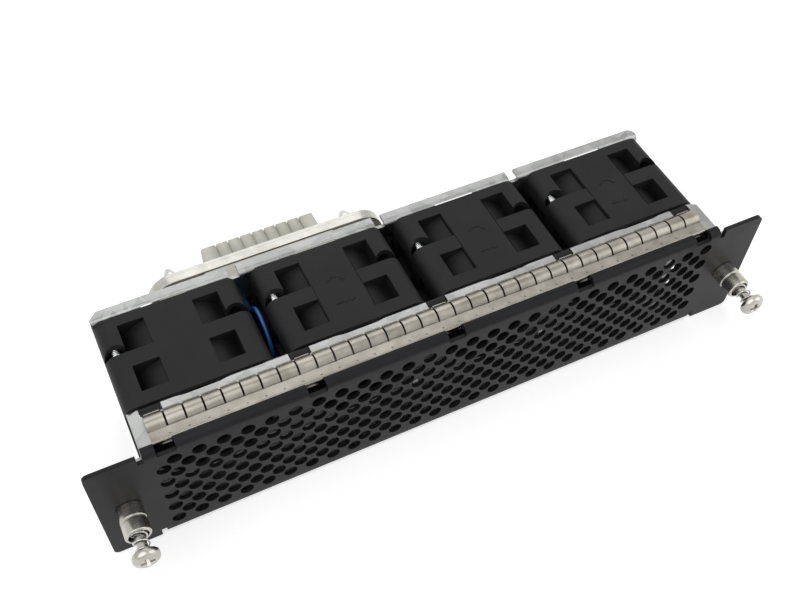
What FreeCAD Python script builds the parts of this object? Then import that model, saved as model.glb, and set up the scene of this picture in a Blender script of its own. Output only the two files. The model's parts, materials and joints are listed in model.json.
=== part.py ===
"""A plug-in fan tray for a network switch: a punched faceplate with two captive screws, a sheet-metal
frame, four axial fans side by side, a finger gasket along the top and a blind-mate connector behind.

X runs along the faceplate, Y from the front to the back, Z up. The tray stands on its pan, and the
origin is the middle of its whole box, on that base.
"""
import FreeCAD, Part
import Sketcher
import math
import os
import re

doc = FreeCAD.newDocument("FanTray")
sheet = doc.addObject("Spreadsheet::Sheet", "Sizes")

# Driving dimensions in millimetres. Depths are measured rearwards from the faceplate's front face.
SIZES = {
    "plate_width": 191.2,
    "plate_height": 39.6,
    "plate_sheet": 1.2,
    "ear_width": 14.0,
    "ear_corner": 1.6,
    "plate_bend": 1.8,
    "plate_flange": 2.6,
    "relief_width": 1.4,
    "relief_depth": 2.6,
    "hole_across": 3.7,
    "hole_pitch_x": 6.1,
    "hole_pitch_z": 6.3,
    "hole_columns": 26,
    "hole_row_pairs": 5,
    "finger_pitch": 4.75,
    "finger_count": 33,
    "finger_slit": 0.5,
    "gasket_sheet": 0.25,
    "gasket_lip": 1.6,
    "gasket_flat": 3.2,
    "gasket_hump_length": 4.8,
    "gasket_hump": 1.5,
    "notch_pitch_fingers": 8,
    "notch_count": 5,
    "plate_notch_width": 4.8,
    "plate_notch_depth": 2.4,
    "shelf_notch_width": 5.6,
    "shelf_notch_reach": 3.0,
    "frame_sheet": 1.0,
    "frame_bend": 1.4,
    "shelf_drop": 0.6,
    "frame_gap": 0.1,
    "pan_inset": 0.4,
    "tab_width": 10.5,
    "tab_height": 33.6,
    "shelf_corner": 3.8,
    "recess_width": 9.5,
    "recess_flare": 3.2,
    "recess_depth": 1.2,
    "fan_width": 38.0,
    "fan_depth": 28.0,
    "fan_pitch": 42.0,
    "fan_count": 4,
    "fan_setback": 13.8,
    "fan_edge": 3.2,
    "duct_radius": 17.8,
    "duct_wall": 1.1,
    "guard_radius": 18.0,
    "bolt_spacing": 31.5,
    "bolt_hole": 3.3,
    "bolt_shank": 2.9,
    "bolt_head": 4.2,
    "bolt_head_height": 1.8,
    "bolt_relief": 0.4,
    "bolt_end": 1.6,
    "pocket_inner": 6.4,
    "pocket_outer": 13.2,
    "front_bar": 3.8,
    "front_pocket": 7.9,
    "middle_bar": 4.6,
    "rear_bar": 3.1,
    "corner_notch": 3.2,
    "corner_notch_depth": 5.6,
    "panel_line": 0.3,
    "panel_line_depth": 0.2,
    "base_radius": 9.8,
    "base_thickness": 3.2,
    "strut_count": 5,
    "strut_width": 2.0,
    "tube_radius": 3.4,
    "tube_length": 14.0,
    "bearing_radius": 2.6,
    "shaft_radius": 1.0,
    "running_clearance": 0.05,
    "stator_radius": 7.4,
    "stator_height": 7.0,
    "stator_shoe": 1.0,
    "stator_waist": 2.5,
    "stator_fillet": 0.6,
    "hub_radius": 9.8,
    "hub_wall": 1.2,
    "hub_front": 2.4,
    "hub_gap": 0.8,
    "blade_count": 7,
    "tip_gap": 0.6,
    "blade_front": 4.4,
    "blade_length": 17.4,
    "blade_sweep": 4.6,
    "blade_thickness": 1.1,
    "blade_camber": 1.2,
    "flange_depth": 3.4,
    "flange_gap": 2.8,
    "flange_gap_shift": 2.0,
    "slot_width": 12.1,
    "slot_depth": 0.6,
    "flange_corner": 2.2,
    "lead_hole": 1.8,
    "lead_hole_height": 26.5,
    "screw_inset": 7.3,
    "screw_height": 19.8,
    "sleeve_radius": 3.3,
    "sleeve_length": 8.0,
    "sleeve_neck": 2.8,
    "sleeve_bore": 2.55,
    "sleeve_floor": 1.6,
    "sleeve_flare": 3.5,
    "sleeve_flare_height": 0.6,
    "screw_shank": 1.3,
    "screw_travel": 4.6,
    "screw_head_radius": 3.45,
    "screw_head_height": 2.4,
    "screw_stop_gap": 0.2,
    "ring_radius": 2.5,
    "ring_height": 0.6,
    "ring_groove": 0.3,
    "ring_play": 0.3,
    "screw_tip": 2.2,
    "screw_point": 0.4,
    "spring_radius": 2.1,
    "spring_wire": 0.5,
    "spring_turns": 5,
    "connector_offset": 30.0,
    "connector_width": 66.0,
    "connector_height": 14.0,
    "connector_axis_height": 20.0,
    "connector_depth": 14.0,
    "connector_centre_width": 38.0,
    "connector_centre_rise": 1.4,
    "shell_width": 70.0,
    "shell_height": 17.0,
    "shell_sheet": 1.0,
    "shell_rim": 2.2,
    "shell_lip": 0.6,
    "shell_gap": 0.2,
    "mating_width": 34.0,
    "mating_height": 12.0,
    "mating_depth": 8.0,
    "contact_count": 9,
    "contact_pitch": 3.6,
    "contact_slot": 0.6,
    "contact_slot_depth": 0.8,
    "contact_mouth": 1.6,
    "contact_mouth_height": 6.0,
    "contact_mouth_depth": 5.0,
    "contact_width": 0.8,
    "contact_height": 3.0,
    "contact_length": 4.0,
    "post_radius": 2.2,
    "post_collar": 2.7,
    "post_collar_height": 2.0,
    "post_length": 8.2,
    "post_nose": 2.5,
    "post_spacing": 54.0,
    "nut_spacing": 63.6,
    "nut_radius": 1.8,
    "nut_height": 1.6,
    "lead_radius": 0.55,
}

ALIASES = re.compile(r"\b(" + "|".join(SIZES) + r")\b")
SKETCH_PLANES = {"front": "XZ_Plane", "top": "XY_Plane", "side": "YZ_Plane"}
THROUGH_ALL = 1


def fill_sheet():
    for row, (alias, size) in enumerate(SIZES.items(), start=1):
        sheet.set(f"A{row}", alias)
        sheet.set(f"B{row}", str(size))
        sheet.setAlias(f"B{row}", alias)
    doc.recompute()


def formula(text):
    """The expression with every size named as the sheet's."""
    return ALIASES.sub(r"Sizes.\1", str(text))


def value(text):
    """What the expression comes to now."""
    return float(sheet.evalExpression(str(text)))


# Places that several pieces share, as expressions of the sizes. Depths are from the plate's front.
REAR_REACH = "(fan_setback + fan_depth + frame_sheet + connector_depth + shell_sheet + post_length)"
HEAD_REAR = "(-sleeve_length - screw_travel - screw_stop_gap)"
FRONT_REACH = f"(screw_head_height - {HEAD_REAR})"
PLATE_FRONT = f"((-{REAR_REACH} + {FRONT_REACH}) / 2)"
GRILLE_HALF = "(plate_width / 2 - ear_width)"
FRAME_HALF = "(plate_width / 2 - ear_width)"
PAN_HALF = "(plate_width / 2 - ear_width + pan_inset)"
SHELF_TOP = "(plate_height - shelf_drop)"
SHELF_FRONT = "(plate_flange + frame_gap + gasket_sheet)"
GASKET_LENGTH = "(finger_pitch * finger_count)"
NOTCH_PITCH = "(finger_pitch * notch_pitch_fingers)"
FAN_REAR = "(fan_setback + fan_depth)"
WALL_REAR = "(fan_setback + fan_depth + frame_sheet)"
FAN_AXIS = "(frame_sheet + fan_width / 2)"
SCREW_X = "(plate_width / 2 - screw_inset)"
RING_FRONT = "(plate_sheet + frame_sheet + sleeve_flare_height)"
SHELL_REAR = "(fan_setback + fan_depth + frame_sheet + connector_depth + shell_sheet)"


def fan_x(index):
    """Where the fan of that number, counted from the left, has its axis."""
    return f"(({index} - (fan_count - 1) / 2) * fan_pitch)"


def new_body(name, x="0", y="0", z="0"):
    """A body that stands x, y, z from the middle of the plate's bottom front edge."""
    body = doc.addObject("PartDesign::Body", name)
    body.Label = name
    body.setExpression("Placement.Base.x", formula(x))
    body.setExpression("Placement.Base.y", formula(f"{PLATE_FRONT} + {y}"))
    body.setExpression("Placement.Base.z", formula(z))
    return body


def origin_part(body, role):
    return next(item for item in body.Origin.OriginFeatures if item.Role == role)


def new_sketch(body, name, facing, level="0"):
    """An empty sketch that faces front, top or side, at that level along +Y, +Z or +X."""
    sketch = body.newObject("Sketcher::SketchObject", f"{body.Name}_{name}_sketch")
    sketch.AttachmentSupport = [(origin_part(body, SKETCH_PLANES[facing]), "")]
    sketch.MapMode = "FlatFace"
    sign = "-1" if facing == "front" else "1"
    sketch.setExpression("AttachmentOffset.Base.z", formula(f"{sign} * ({level})"))
    return sketch


def pin(sketch, geometry, point, text, kind):
    """Holds one coordinate of a sketch's point at an expression."""
    index = sketch.addConstraint(Sketcher.Constraint(kind, -1, 1, geometry, point, value(text)))
    sketch.setExpression(f"Constraints[{index}]", formula(text))


def polygon(sketch, corners):
    """A closed outline through corners, each a pair of expressions."""
    places = [FreeCAD.Vector(value(u), value(v), 0) for u, v in corners]
    first = sketch.GeometryCount
    count = len(corners)
    sketch.addGeometry([Part.LineSegment(places[i], places[(i + 1) % count]) for i in range(count)])
    rules = []
    for i in range(count):
        following = first + (i + 1) % count
        rules.append(Sketcher.Constraint("Coincident", first + i, 2, following, 1))
    for i, place in enumerate(places):
        rules.append(Sketcher.Constraint("DistanceX", -1, 1, first + i, 1, place.x))
        rules.append(Sketcher.Constraint("DistanceY", -1, 1, first + i, 1, place.y))
    start = sketch.ConstraintCount + count
    sketch.addConstraint(rules)
    for i, (u, v) in enumerate(corners):
        sketch.setExpression(f"Constraints[{start + 2 * i}]", formula(u))
        sketch.setExpression(f"Constraints[{start + 2 * i + 1}]", formula(v))


def rectangle(sketch, left, right, low, high):
    polygon(sketch, [(left, low), (right, low), (right, high), (left, high)])


def circle(sketch, u, v, radius):
    centre = FreeCAD.Vector(value(u), value(v), 0)
    shape = Part.Circle(centre, FreeCAD.Vector(0, 0, 1), value(radius))
    index = sketch.addGeometry(shape)
    pin(sketch, index, 3, u, "DistanceX")
    pin(sketch, index, 3, v, "DistanceY")
    limit = sketch.addConstraint(Sketcher.Constraint("Radius", index, value(radius)))
    sketch.setExpression(f"Constraints[{limit}]", formula(radius))


def ring_of_corners(u, v, radius, sides):
    """The corners of a regular outline of that many sides, as expressions."""
    corners = []
    for k in range(sides):
        angle = 360 * k / sides
        corners.append(
            (f"{u} + ({radius}) * cos({angle} deg)", f"{v} + ({radius}) * sin({angle} deg)")
        )
    return corners


def facets(sketch, u, v, radius, sides):
    """A round boss of few sides, whose corners lie on the radius."""
    polygon(sketch, ring_of_corners(u, v, radius, sides))


def socket(sketch, u, v, radius, sides):
    """A round hole of few sides, whose flats lie on the radius, so that a boss of it fits in."""
    polygon(sketch, ring_of_corners(u, v, f"({radius}) / cos({180 / sides} deg)", sides))


def round_cornered(across, up, edge, steps=3):
    """The corners of an outline about the middle, each of its four corners rounded by few sides."""
    corners = []
    for turn, (side, lift) in enumerate(((1, 1), (-1, 1), (-1, -1), (1, -1))):
        for k in range(steps + 1):
            angle = 90 * turn + 90 * k / steps
            corners.append(
                (
                    f"{side} * ({across} - {edge}) + {edge} * cos({angle} deg)",
                    f"{lift} * ({up} - {edge}) + {edge} * sin({angle} deg)",
                )
            )
    return corners


def pad(body, sketch, length):
    """Adds the outline's length towards +X, +Y or +Z."""
    feature = body.newObject("PartDesign::Pad", sketch.Name.replace("sketch", "pad"))
    feature.Profile = sketch
    feature.setExpression("Length", formula(length))
    feature.Reversed = origin_part(body, "XZ_Plane") in [s[0] for s in sketch.AttachmentSupport]
    return feature


def pocket(body, sketch, length=None):
    """Cuts the outline towards +X, +Y or +Z, for that length or right through."""
    feature = body.newObject("PartDesign::Pocket", sketch.Name.replace("sketch", "cut"))
    feature.Profile = sketch
    if length is None:
        feature.Type = THROUGH_ALL
    else:
        feature.setExpression("Length", formula(length))
    facing_front = origin_part(body, "XZ_Plane") in [s[0] for s in sketch.AttachmentSupport]
    feature.Reversed = not facing_front
    return feature


def row_of(body, original, direction, spacing, count):
    """Repeats a feature along an axis of its sketch, or along two when pairs are given."""
    pattern = body.newObject("PartDesign::LinearPattern", f"{original.Name}_row")
    pattern.Originals = [original]
    pattern.Direction = (original.Profile[0], [direction[0]])
    pattern.Mode = "Spacing"
    pattern.setExpression("Offset", formula(spacing[0]))
    pattern.setExpression("Occurrences", formula(count[0]))
    if len(direction) > 1:
        pattern.Direction2 = (original.Profile[0], [direction[1]])
        pattern.Mode2 = "Spacing"
        pattern.setExpression("Offset2", formula(spacing[1]))
        pattern.setExpression("Occurrences2", formula(count[1]))
    body.Tip = pattern
    return pattern


def round_of(body, original, count):
    """Repeats a feature evenly about the body's own Y axis."""
    pattern = body.newObject("PartDesign::PolarPattern", f"{original.Name}_round")
    pattern.Originals = [original]
    pattern.Axis = (origin_part(body, "Y_Axis"), [""])
    pattern.Angle = 360
    pattern.setExpression("Occurrences", formula(count))
    body.Tip = pattern
    return pattern


def soften(body, radius, wanted, name, kind="Fillet"):
    """Rounds or bevels the tip's straight edges whose middle point is wanted."""
    doc.recompute()
    base = body.Tip
    edges = []
    for number, edge in enumerate(base.Shape.Edges, start=1):
        if edge.Curve.TypeId != "Part::GeomLine":
            continue
        middle = edge.CenterOfMass
        run = edge.Vertexes[-1].Point - edge.Vertexes[0].Point
        if wanted(middle, run):
            edges.append(f"Edge{number}")
    feature = body.newObject(f"PartDesign::{kind}", f"{body.Name}_{name}")
    feature.Base = (base, edges)
    feature.setExpression("Radius" if kind == "Fillet" else "Size", formula(radius))
    return feature


def near(a, b):
    return abs(a - b) < 1e-4


def along(run, axis):
    """True for a run in line with that axis."""
    return abs(abs(getattr(run, axis)) - run.Length) < 1e-4


def notch_centres():
    """The middles of the clearance notches, in line with every eighth finger."""
    count = round(value("notch_count"))
    return [f"(({k} - (notch_count - 1) / 2) * {NOTCH_PITCH})" for k in range(count)]


def make_faceplate():
    """The punched front plate: two plain ears, and a grille section with its long edges bent back."""
    body = new_body("faceplate")
    front = new_sketch(body, "sheet", "front")
    rectangle(front, "-plate_width / 2", "plate_width / 2", "0", "plate_height")
    pad(body, front, "plate_sheet")
    for name, low, high in (
        ("top_flange", "plate_height - plate_sheet", "plate_height"),
        ("bottom_flange", "0", "plate_sheet"),
    ):
        flange = new_sketch(body, name, "front")
        rectangle(flange, f"-{GRILLE_HALF}", GRILLE_HALF, low, high)
        pad(body, flange, "plate_flange")
    relief = new_sketch(body, "relief", "front", "-plate_sheet")
    for side in ("-1", "1"):
        for low, high in (
            ("-plate_sheet", "relief_depth"),
            ("plate_height - relief_depth", "plate_height + plate_sheet"),
        ):
            edges = [f"{side} * {GRILLE_HALF}", f"{side} * ({GRILLE_HALF} + relief_width)"]
            if side == "-1":
                edges.reverse()
            rectangle(relief, edges[0], edges[1], low, high)
    pocket(body, relief)
    soften_plate_bends(body)
    corners = value("plate_width / 2")
    soften(
        body,
        "ear_corner",
        lambda middle, run: along(run, "y") and near(abs(middle.x), corners),
        "ear_corners",
    )
    notches = new_sketch(body, "notches", "front", "-plate_sheet")
    for centre in notch_centres():
        rectangle(
            notches,
            f"{centre} - plate_notch_width / 2",
            f"{centre} + plate_notch_width / 2",
            "plate_height - plate_notch_depth",
            "plate_height + plate_sheet",
        )
    pocket(body, notches)
    cut_grille(body)
    seats = new_sketch(body, "sleeve_seats", "front")
    for side in ("-1", "1"):
        socket(seats, f"{side} * {SCREW_X}", "screw_height", "sleeve_neck", 12)
    pocket(body, seats)
    return body


def soften_plate_bends(body):
    """Rounds the plate's two long bends, outside and inside."""
    top = value("plate_height")
    rear = value("plate_sheet")

    def outside(middle, run):
        return along(run, "x") and near(middle.y, 0) and abs(middle.x) < 1 and (
            near(middle.z, 0) or near(middle.z, top)
        )

    def inside(middle, run):
        return along(run, "x") and near(middle.y, rear) and abs(middle.x) < 1 and (
            near(middle.z, rear) or near(middle.z, top - rear)
        )

    soften(body, "plate_bend", outside, "outer_bends")
    soften(body, "plate_bend - plate_sheet", inside, "inner_bends")


def cut_grille(body):
    """Ten staggered rows of holes, cut as one pair repeated along and up the plate."""
    width = "(hole_pitch_x * (hole_columns - 0.5))"
    height = "(hole_pitch_z * (hole_row_pairs - 0.5))"
    left = f"(-{width} / 2)"
    low = f"(plate_height / 2 - {height} / 2)"
    pair = new_sketch(body, "grille", "front")
    for u, v in (
        (left, low),
        (f"({left} + hole_pitch_x / 2)", f"({low} + hole_pitch_z / 2)"),
    ):
        polygon(pair, ring_of_corners(u, v, "hole_across / 2", 6))
    holes = pocket(body, pair)
    row_of(
        body,
        holes,
        ("H_Axis", "V_Axis"),
        ("hole_pitch_x", "hole_pitch_z"),
        ("hole_columns", "hole_row_pairs"),
    )


def make_gasket():
    """The finger strip clipped over the shelf's front edge, slit into equal sprung fingers."""
    body = new_body("emi_gasket")
    top = SHELF_TOP
    skin = f"({top} + gasket_sheet)"
    front = "(plate_flange + frame_gap)"
    foot = f"({front} + gasket_flat)"
    tail = f"({foot} + gasket_hump_length)"
    rise = [(0.26, 0.92), (0.58, 1.0)]
    over = [(f"{foot} + {u} * gasket_hump_length", f"{v} * gasket_hump") for u, v in rise]
    outer = [(front, f"{top} - gasket_lip"), (front, skin), (foot, skin)]
    outer += [(y, f"{skin} + {z}") for y, z in over]
    outer += [(f"{tail} + gasket_sheet", skin)]
    inner = [(f"{tail} + gasket_sheet", top), (tail, top)]
    inner += [(y, f"{top} + {z}") for y, z in reversed(over)]
    inner += [(f"{foot} + gasket_sheet", top)]
    inner += [(f"{front} + gasket_sheet", top), (f"{front} + gasket_sheet", f"{top} - gasket_lip")]
    profile = new_sketch(body, "profile", "side", f"-{GASKET_LENGTH} / 2")
    polygon(profile, outer + inner)
    pad(body, profile, GASKET_LENGTH)
    slit = new_sketch(body, "slit", "top")
    first = f"(-{GASKET_LENGTH} / 2 + finger_pitch)"
    rectangle(
        slit,
        f"{first} - finger_slit / 2",
        f"{first} + finger_slit / 2",
        f"{foot} - gasket_sheet",
        f"{tail} + 2 * gasket_sheet",
    )
    cut = pocket(body, slit)
    row_of(body, cut, ("H_Axis",), ("finger_pitch",), ("finger_count - 1",))
    return body


def make_front_frame():
    """The bent sheet behind the plate: shelf, fan wall with four openings, foot, ends and tabs."""
    body = new_body("front_frame")
    wall_front = "(fan_setback - frame_sheet)"
    profile = new_sketch(body, "channel", "side", f"-{FRAME_HALF}")
    low = "frame_sheet"
    polygon(
        profile,
        [
            (SHELF_FRONT, f"{SHELF_TOP} - frame_sheet"),
            (wall_front, f"{SHELF_TOP} - frame_sheet"),
            (wall_front, f"{low} + frame_sheet"),
            (f"{SHELF_FRONT} + frame_sheet", f"{low} + frame_sheet"),
            (f"{SHELF_FRONT} + frame_sheet", low),
            ("fan_setback", low),
            ("fan_setback", SHELF_TOP),
            (SHELF_FRONT, SHELF_TOP),
        ],
    )
    pad(body, profile, f"2 * {FRAME_HALF}")
    ends = new_sketch(body, "ends", "front", "plate_sheet")
    tabs = new_sketch(body, "tabs", "front", "plate_sheet")
    tab_low = "((plate_height - tab_height) / 2)"
    for side in ("-1", "1"):
        inner = f"{side} * ({FRAME_HALF} - frame_sheet)"
        outer = f"{side} * {FRAME_HALF}"
        reach = f"{side} * ({FRAME_HALF} + tab_width)"
        end = [inner, outer] if side == "1" else [outer, inner]
        tab = [inner, reach] if side == "1" else [reach, inner]
        rectangle(ends, end[0], end[1], "2 * frame_sheet", f"{SHELF_TOP} - frame_sheet")
        rectangle(tabs, tab[0], tab[1], tab_low, f"{tab_low} + tab_height")
    pad(body, ends, f"{wall_front} - bolt_head_height - bolt_relief - plate_sheet")
    pad(body, tabs, "frame_sheet")
    top = value(SHELF_TOP)
    rear = value("fan_setback")
    soften(
        body,
        "frame_bend",
        lambda middle, run: along(run, "x") and near(middle.y, rear) and near(middle.z, top),
        "rear_bend",
    )
    openings = new_sketch(body, "openings", "front")
    for index in range(round(value("fan_count"))):
        socket(openings, fan_x(index), FAN_AXIS, "guard_radius", 20)
    for side in ("-1", "1"):
        socket(openings, f"{side} * {SCREW_X}", "screw_height", "sleeve_neck", 12)
    pocket(body, openings)
    cut_bolt_holes(body)
    cut_shelf_edge(body)
    return body


def bolt_places():
    """Each fan's two through bolts, top left and bottom right."""
    places = []
    for index in range(round(value("fan_count"))):
        for side, up in ((-1, 1), (1, -1)):
            x = f"{fan_x(index)} + {side} * bolt_spacing / 2"
            places.append((x, f"{FAN_AXIS} + {up} * bolt_spacing / 2"))
    return places


def cut_bolt_holes(body):
    """The holes for the fans' through bolts."""
    holes = new_sketch(body, "bolt_holes", "front", "plate_flange + frame_sheet")
    for x, z in bolt_places():
        socket(holes, x, z, "bolt_hole / 2", 6)
    pocket(body, holes)


def cut_shelf_edge(body):
    """The shelf's rear edge: a flared recess at each fan, five notches and two cut corners."""
    under = f"{SHELF_TOP} - frame_bend"
    recesses = new_sketch(body, "recesses", "top", under)
    for index in range(round(value("fan_count"))):
        x = fan_x(index)
        wide = "(recess_width / 2 + recess_flare)"
        polygon(
            recesses,
            [
                (f"{x} - {wide}", "fan_setback + frame_sheet"),
                (f"{x} - {wide}", "fan_setback - recess_depth / 4"),
                (f"{x} - recess_width / 2", "fan_setback - recess_depth"),
                (f"{x} + recess_width / 2", "fan_setback - recess_depth"),
                (f"{x} + {wide}", "fan_setback - recess_depth / 4"),
                (f"{x} + {wide}", "fan_setback + frame_sheet"),
            ],
        )
    pocket(body, recesses)
    notches = new_sketch(body, "notches", "top", under)
    for centre in notch_centres():
        rectangle(
            notches,
            f"{centre} - shelf_notch_width / 2",
            f"{centre} + shelf_notch_width / 2",
            "fan_setback - shelf_notch_reach",
            "fan_setback + frame_sheet",
        )
    pocket(body, notches)
    corners = new_sketch(body, "corners", "top", under)
    deep = "shelf_corner / 2"
    for side in ("-1", "1"):
        points = [
            (f"{side} * ({FRAME_HALF} - shelf_corner)", "fan_setback + frame_sheet"),
            (f"{side} * ({FRAME_HALF} - shelf_corner)", "fan_setback"),
            (f"{side} * {FRAME_HALF}", f"fan_setback - {deep}"),
            (f"{side} * ({FRAME_HALF} + frame_sheet)", f"fan_setback - {deep}"),
            (f"{side} * ({FRAME_HALF} + frame_sheet)", "fan_setback + frame_sheet"),
        ]
        polygon(corners, points)
    pocket(body, corners)


def make_pan():
    """The pan under the fans, with the rear wall and its four rearward flanges."""
    body = new_body("tray_pan")
    profile = new_sketch(body, "pan", "side", f"-{PAN_HALF}")
    polygon(
        profile,
        [
            ("plate_flange + frame_gap", "0"),
            (WALL_REAR, "0"),
            (WALL_REAR, f"{SHELF_TOP} - frame_sheet"),
            (f"{FAN_REAR} + flange_depth", f"{SHELF_TOP} - frame_sheet"),
            (f"{FAN_REAR} + flange_depth", SHELF_TOP),
            (FAN_REAR, SHELF_TOP),
            (FAN_REAR, "frame_sheet"),
            ("plate_flange + frame_gap", "frame_sheet"),
        ],
    )
    pad(body, profile, f"2 * {PAN_HALF}")
    top = value(SHELF_TOP)
    front = value(FAN_REAR)
    soften(
        body,
        "frame_bend",
        lambda middle, run: along(run, "x") and near(middle.y, front) and near(middle.z, top),
        "top_bend",
    )
    foot = value(WALL_REAR)
    soften(
        body,
        "frame_bend",
        lambda middle, run: along(run, "x") and near(middle.y, foot) and near(middle.z, 0),
        "bottom_bend",
    )
    openings = new_sketch(body, "openings", "front", FAN_REAR + " - frame_sheet")
    for index in range(round(value("fan_count"))):
        socket(openings, fan_x(index), FAN_AXIS, "guard_radius", 20)
    pocket(body, openings)
    holes = new_sketch(body, "bolt_holes", "front", FAN_REAR + " - frame_sheet")
    for x, z in bolt_places():
        socket(holes, x, z, "bolt_shank / 2", 6)
    socket(holes, f"{fan_x(0)} + fan_pitch / 2", "lead_hole_height", "lead_hole", 8)
    pocket(body, holes)
    cut_flanges(body)
    return body


def cut_flanges(body):
    """Divides the rear flange into four, and slots its bend at each fan."""
    under = f"{SHELF_TOP} - frame_bend"
    gaps = new_sketch(body, "flange_gaps", "top", under)
    for index in range(round(value("fan_count")) - 1):
        middle = f"({fan_x(index)} + fan_pitch / 2 - flange_gap_shift)"
        rectangle(
            gaps,
            f"{middle} - flange_gap / 2",
            f"{middle} + flange_gap / 2",
            FAN_REAR + " - frame_sheet",
            FAN_REAR + " + 2 * flange_depth",
        )
    pocket(body, gaps)
    slots = new_sketch(body, "flange_slots", "top", under)
    for index in range(round(value("fan_count"))):
        x = fan_x(index)
        rectangle(
            slots,
            f"{x} - slot_width / 2",
            f"{x} + slot_width / 2",
            FAN_REAR + " - frame_sheet",
            FAN_REAR + " + slot_depth",
        )
    pocket(body, slots)
    rear = value(f"{FAN_REAR} + flange_depth")
    half = value(PAN_HALF)
    soften(
        body,
        "flange_corner",
        lambda middle, run: along(run, "z") and near(middle.y, rear) and near(middle.x, half),
        "round_corner",
    )
    soften(
        body,
        "flange_corner",
        lambda middle, run: along(run, "z") and near(middle.y, rear) and near(middle.x, -half),
        "cut_corner",
        "Chamfer",
    )


def duct_corners(side):
    """A side pocket's outline in the housing's cross-section, its floor round the duct."""
    rim = "(duct_radius + duct_wall)"
    steps = 2
    floor = []
    for k in range(steps + 1):
        x = f"(pocket_inner + (pocket_outer - pocket_inner) * {k} / {steps})"
        floor.append((f"{side} * {x}", f"sqrt({rim} * {rim} - {x} * {x})"))
    lid = [
        (f"{side} * pocket_outer", "fan_width / 2 + duct_wall"),
        (f"{side} * pocket_inner", "fan_width / 2 + duct_wall"),
    ]
    return floor + lid


def make_housing(index):
    """One fan's moulded housing: square frame, duct, lightening pockets, struts and motor tube."""
    body = new_body(f"fan_housing_{index + 1}", fan_x(index), "fan_setback", FAN_AXIS)
    half = "fan_width / 2"
    block = new_sketch(body, "block", "front")
    polygon(block, round_cornered(half, half, "fan_edge"))
    socket(block, "0", "0", "duct_radius", 20)
    for side in (-1, 1):
        for up in (-1, 1):
            socket(block, f"{side} * bolt_spacing / 2", f"{up} * bolt_spacing / 2", "bolt_hole / 2", 6)
    pad(body, block, "fan_depth")
    rear_pocket = "(fan_depth - front_bar - front_pocket - middle_bar - rear_bar)"
    for name, level, length in (
        ("front_pockets", "front_bar", "front_pocket"),
        ("rear_pockets", "front_bar + front_pocket + middle_bar", rear_pocket),
    ):
        outline = new_sketch(body, name, "front", level)
        for side in ("-1", "1"):
            polygon(outline, duct_corners(side))
        round_of(body, pocket(body, outline, length), "4")
    cut_corner_notches(body)
    if index > 0:
        cut_panel_lines(body)
    add_motor_mount(body)
    return body


def cut_corner_notches(body):
    """A half-moon through each corner column, behind the middle bar."""
    level = "front_bar + front_pocket + middle_bar"
    for name, base in (("upper", "fan_width / 2 - corner_notch_depth"), ("lower", "-fan_width / 2")):
        moons = new_sketch(body, f"{name}_notches", "top", base)
        for side in (-1, 1):
            corners = []
            for angle in range(0, 181, 45):
                u = f"{side} * bolt_spacing / 2 + corner_notch * cos({angle} deg)"
                corners.append((u, f"{level} + corner_notch * sin({angle} deg)"))
            polygon(moons, corners)
        pocket(body, moons, "corner_notch_depth")


def cut_panel_lines(body):
    """Two fine grooves that bound the middle panel on top."""
    lines = new_sketch(body, "panel_lines", "front", "front_bar")
    floor = "fan_width / 2 - panel_line_depth"
    for side in ("-1", "1"):
        edges = [f"{side} * pocket_inner", f"{side} * (pocket_inner - panel_line)"]
        if side == "1":
            edges.reverse()
        rectangle(lines, edges[0], edges[1], floor, "fan_width / 2 + duct_wall")
    pocket(body, lines, "fan_depth - front_bar - rear_bar")


def add_motor_mount(body):
    """The motor's base disc, its struts and the tube that holds the bearing."""
    base_level = "fan_depth - base_thickness"
    disc = new_sketch(body, "motor_base", "front", base_level)
    facets(disc, "0", "0", "base_radius", 15)
    pad(body, disc, "base_thickness")
    strut = new_sketch(body, "strut", "front", base_level)
    root = "base_radius - strut_width"
    rectangle(strut, "-strut_width / 2", "strut_width / 2", root, "duct_radius + duct_wall / 2")
    round_of(body, pad(body, strut, "base_thickness"), "strut_count")
    tube = new_sketch(body, "tube", "front", f"{base_level} - tube_length")
    facets(tube, "0", "0", "tube_radius", 10)
    pad(body, tube, "tube_length")
    seat = new_sketch(body, "bearing_seat", "front", f"{base_level} - 2 * tube_length")
    socket(seat, "0", "0", "bearing_radius", 10)
    pocket(body, seat, "2 * tube_length")


def make_bearing(index):
    """The brass bearing in the motor tube, which the rotor's shaft turns in."""
    level = "fan_setback + fan_depth - base_thickness - tube_length"
    body = new_body(f"fan_bearing_{index + 1}", fan_x(index), level, FAN_AXIS)
    ring = new_sketch(body, "ring", "front")
    facets(ring, "0", "0", "bearing_radius", 10)
    circle(ring, "0", "0", "shaft_radius + running_clearance")
    pad(body, ring, "tube_length")
    return body


def make_stator(index):
    """The motor's wound core: four poles round the tube, inside the rotor's hub."""
    level = "fan_setback + fan_depth - base_thickness - stator_height - hub_gap"
    body = new_body(f"fan_stator_{index + 1}", fan_x(index), level, FAN_AXIS)
    pole = "stator_radius"
    neck = "(stator_radius - stator_shoe)"
    waist = "stator_waist"
    shoe = "stator_radius / 2"
    middle = "(stator_waist + stator_fillet)"
    outline = []
    for quarter in range(4):
        turn = 90 * quarter
        for u, v in ((pole, f"(-{shoe})"), (pole, shoe), (neck, shoe), (neck, waist), (middle, middle)):
            outline.append(
                (
                    f"{u} * cos({turn} deg) - {v} * sin({turn} deg)",
                    f"{u} * sin({turn} deg) + {v} * cos({turn} deg)",
                )
            )
    core = new_sketch(body, "core", "front")
    polygon(core, outline)
    socket(core, "0", "0", "tube_radius", 10)
    pad(body, core, "stator_height")
    return body


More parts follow.
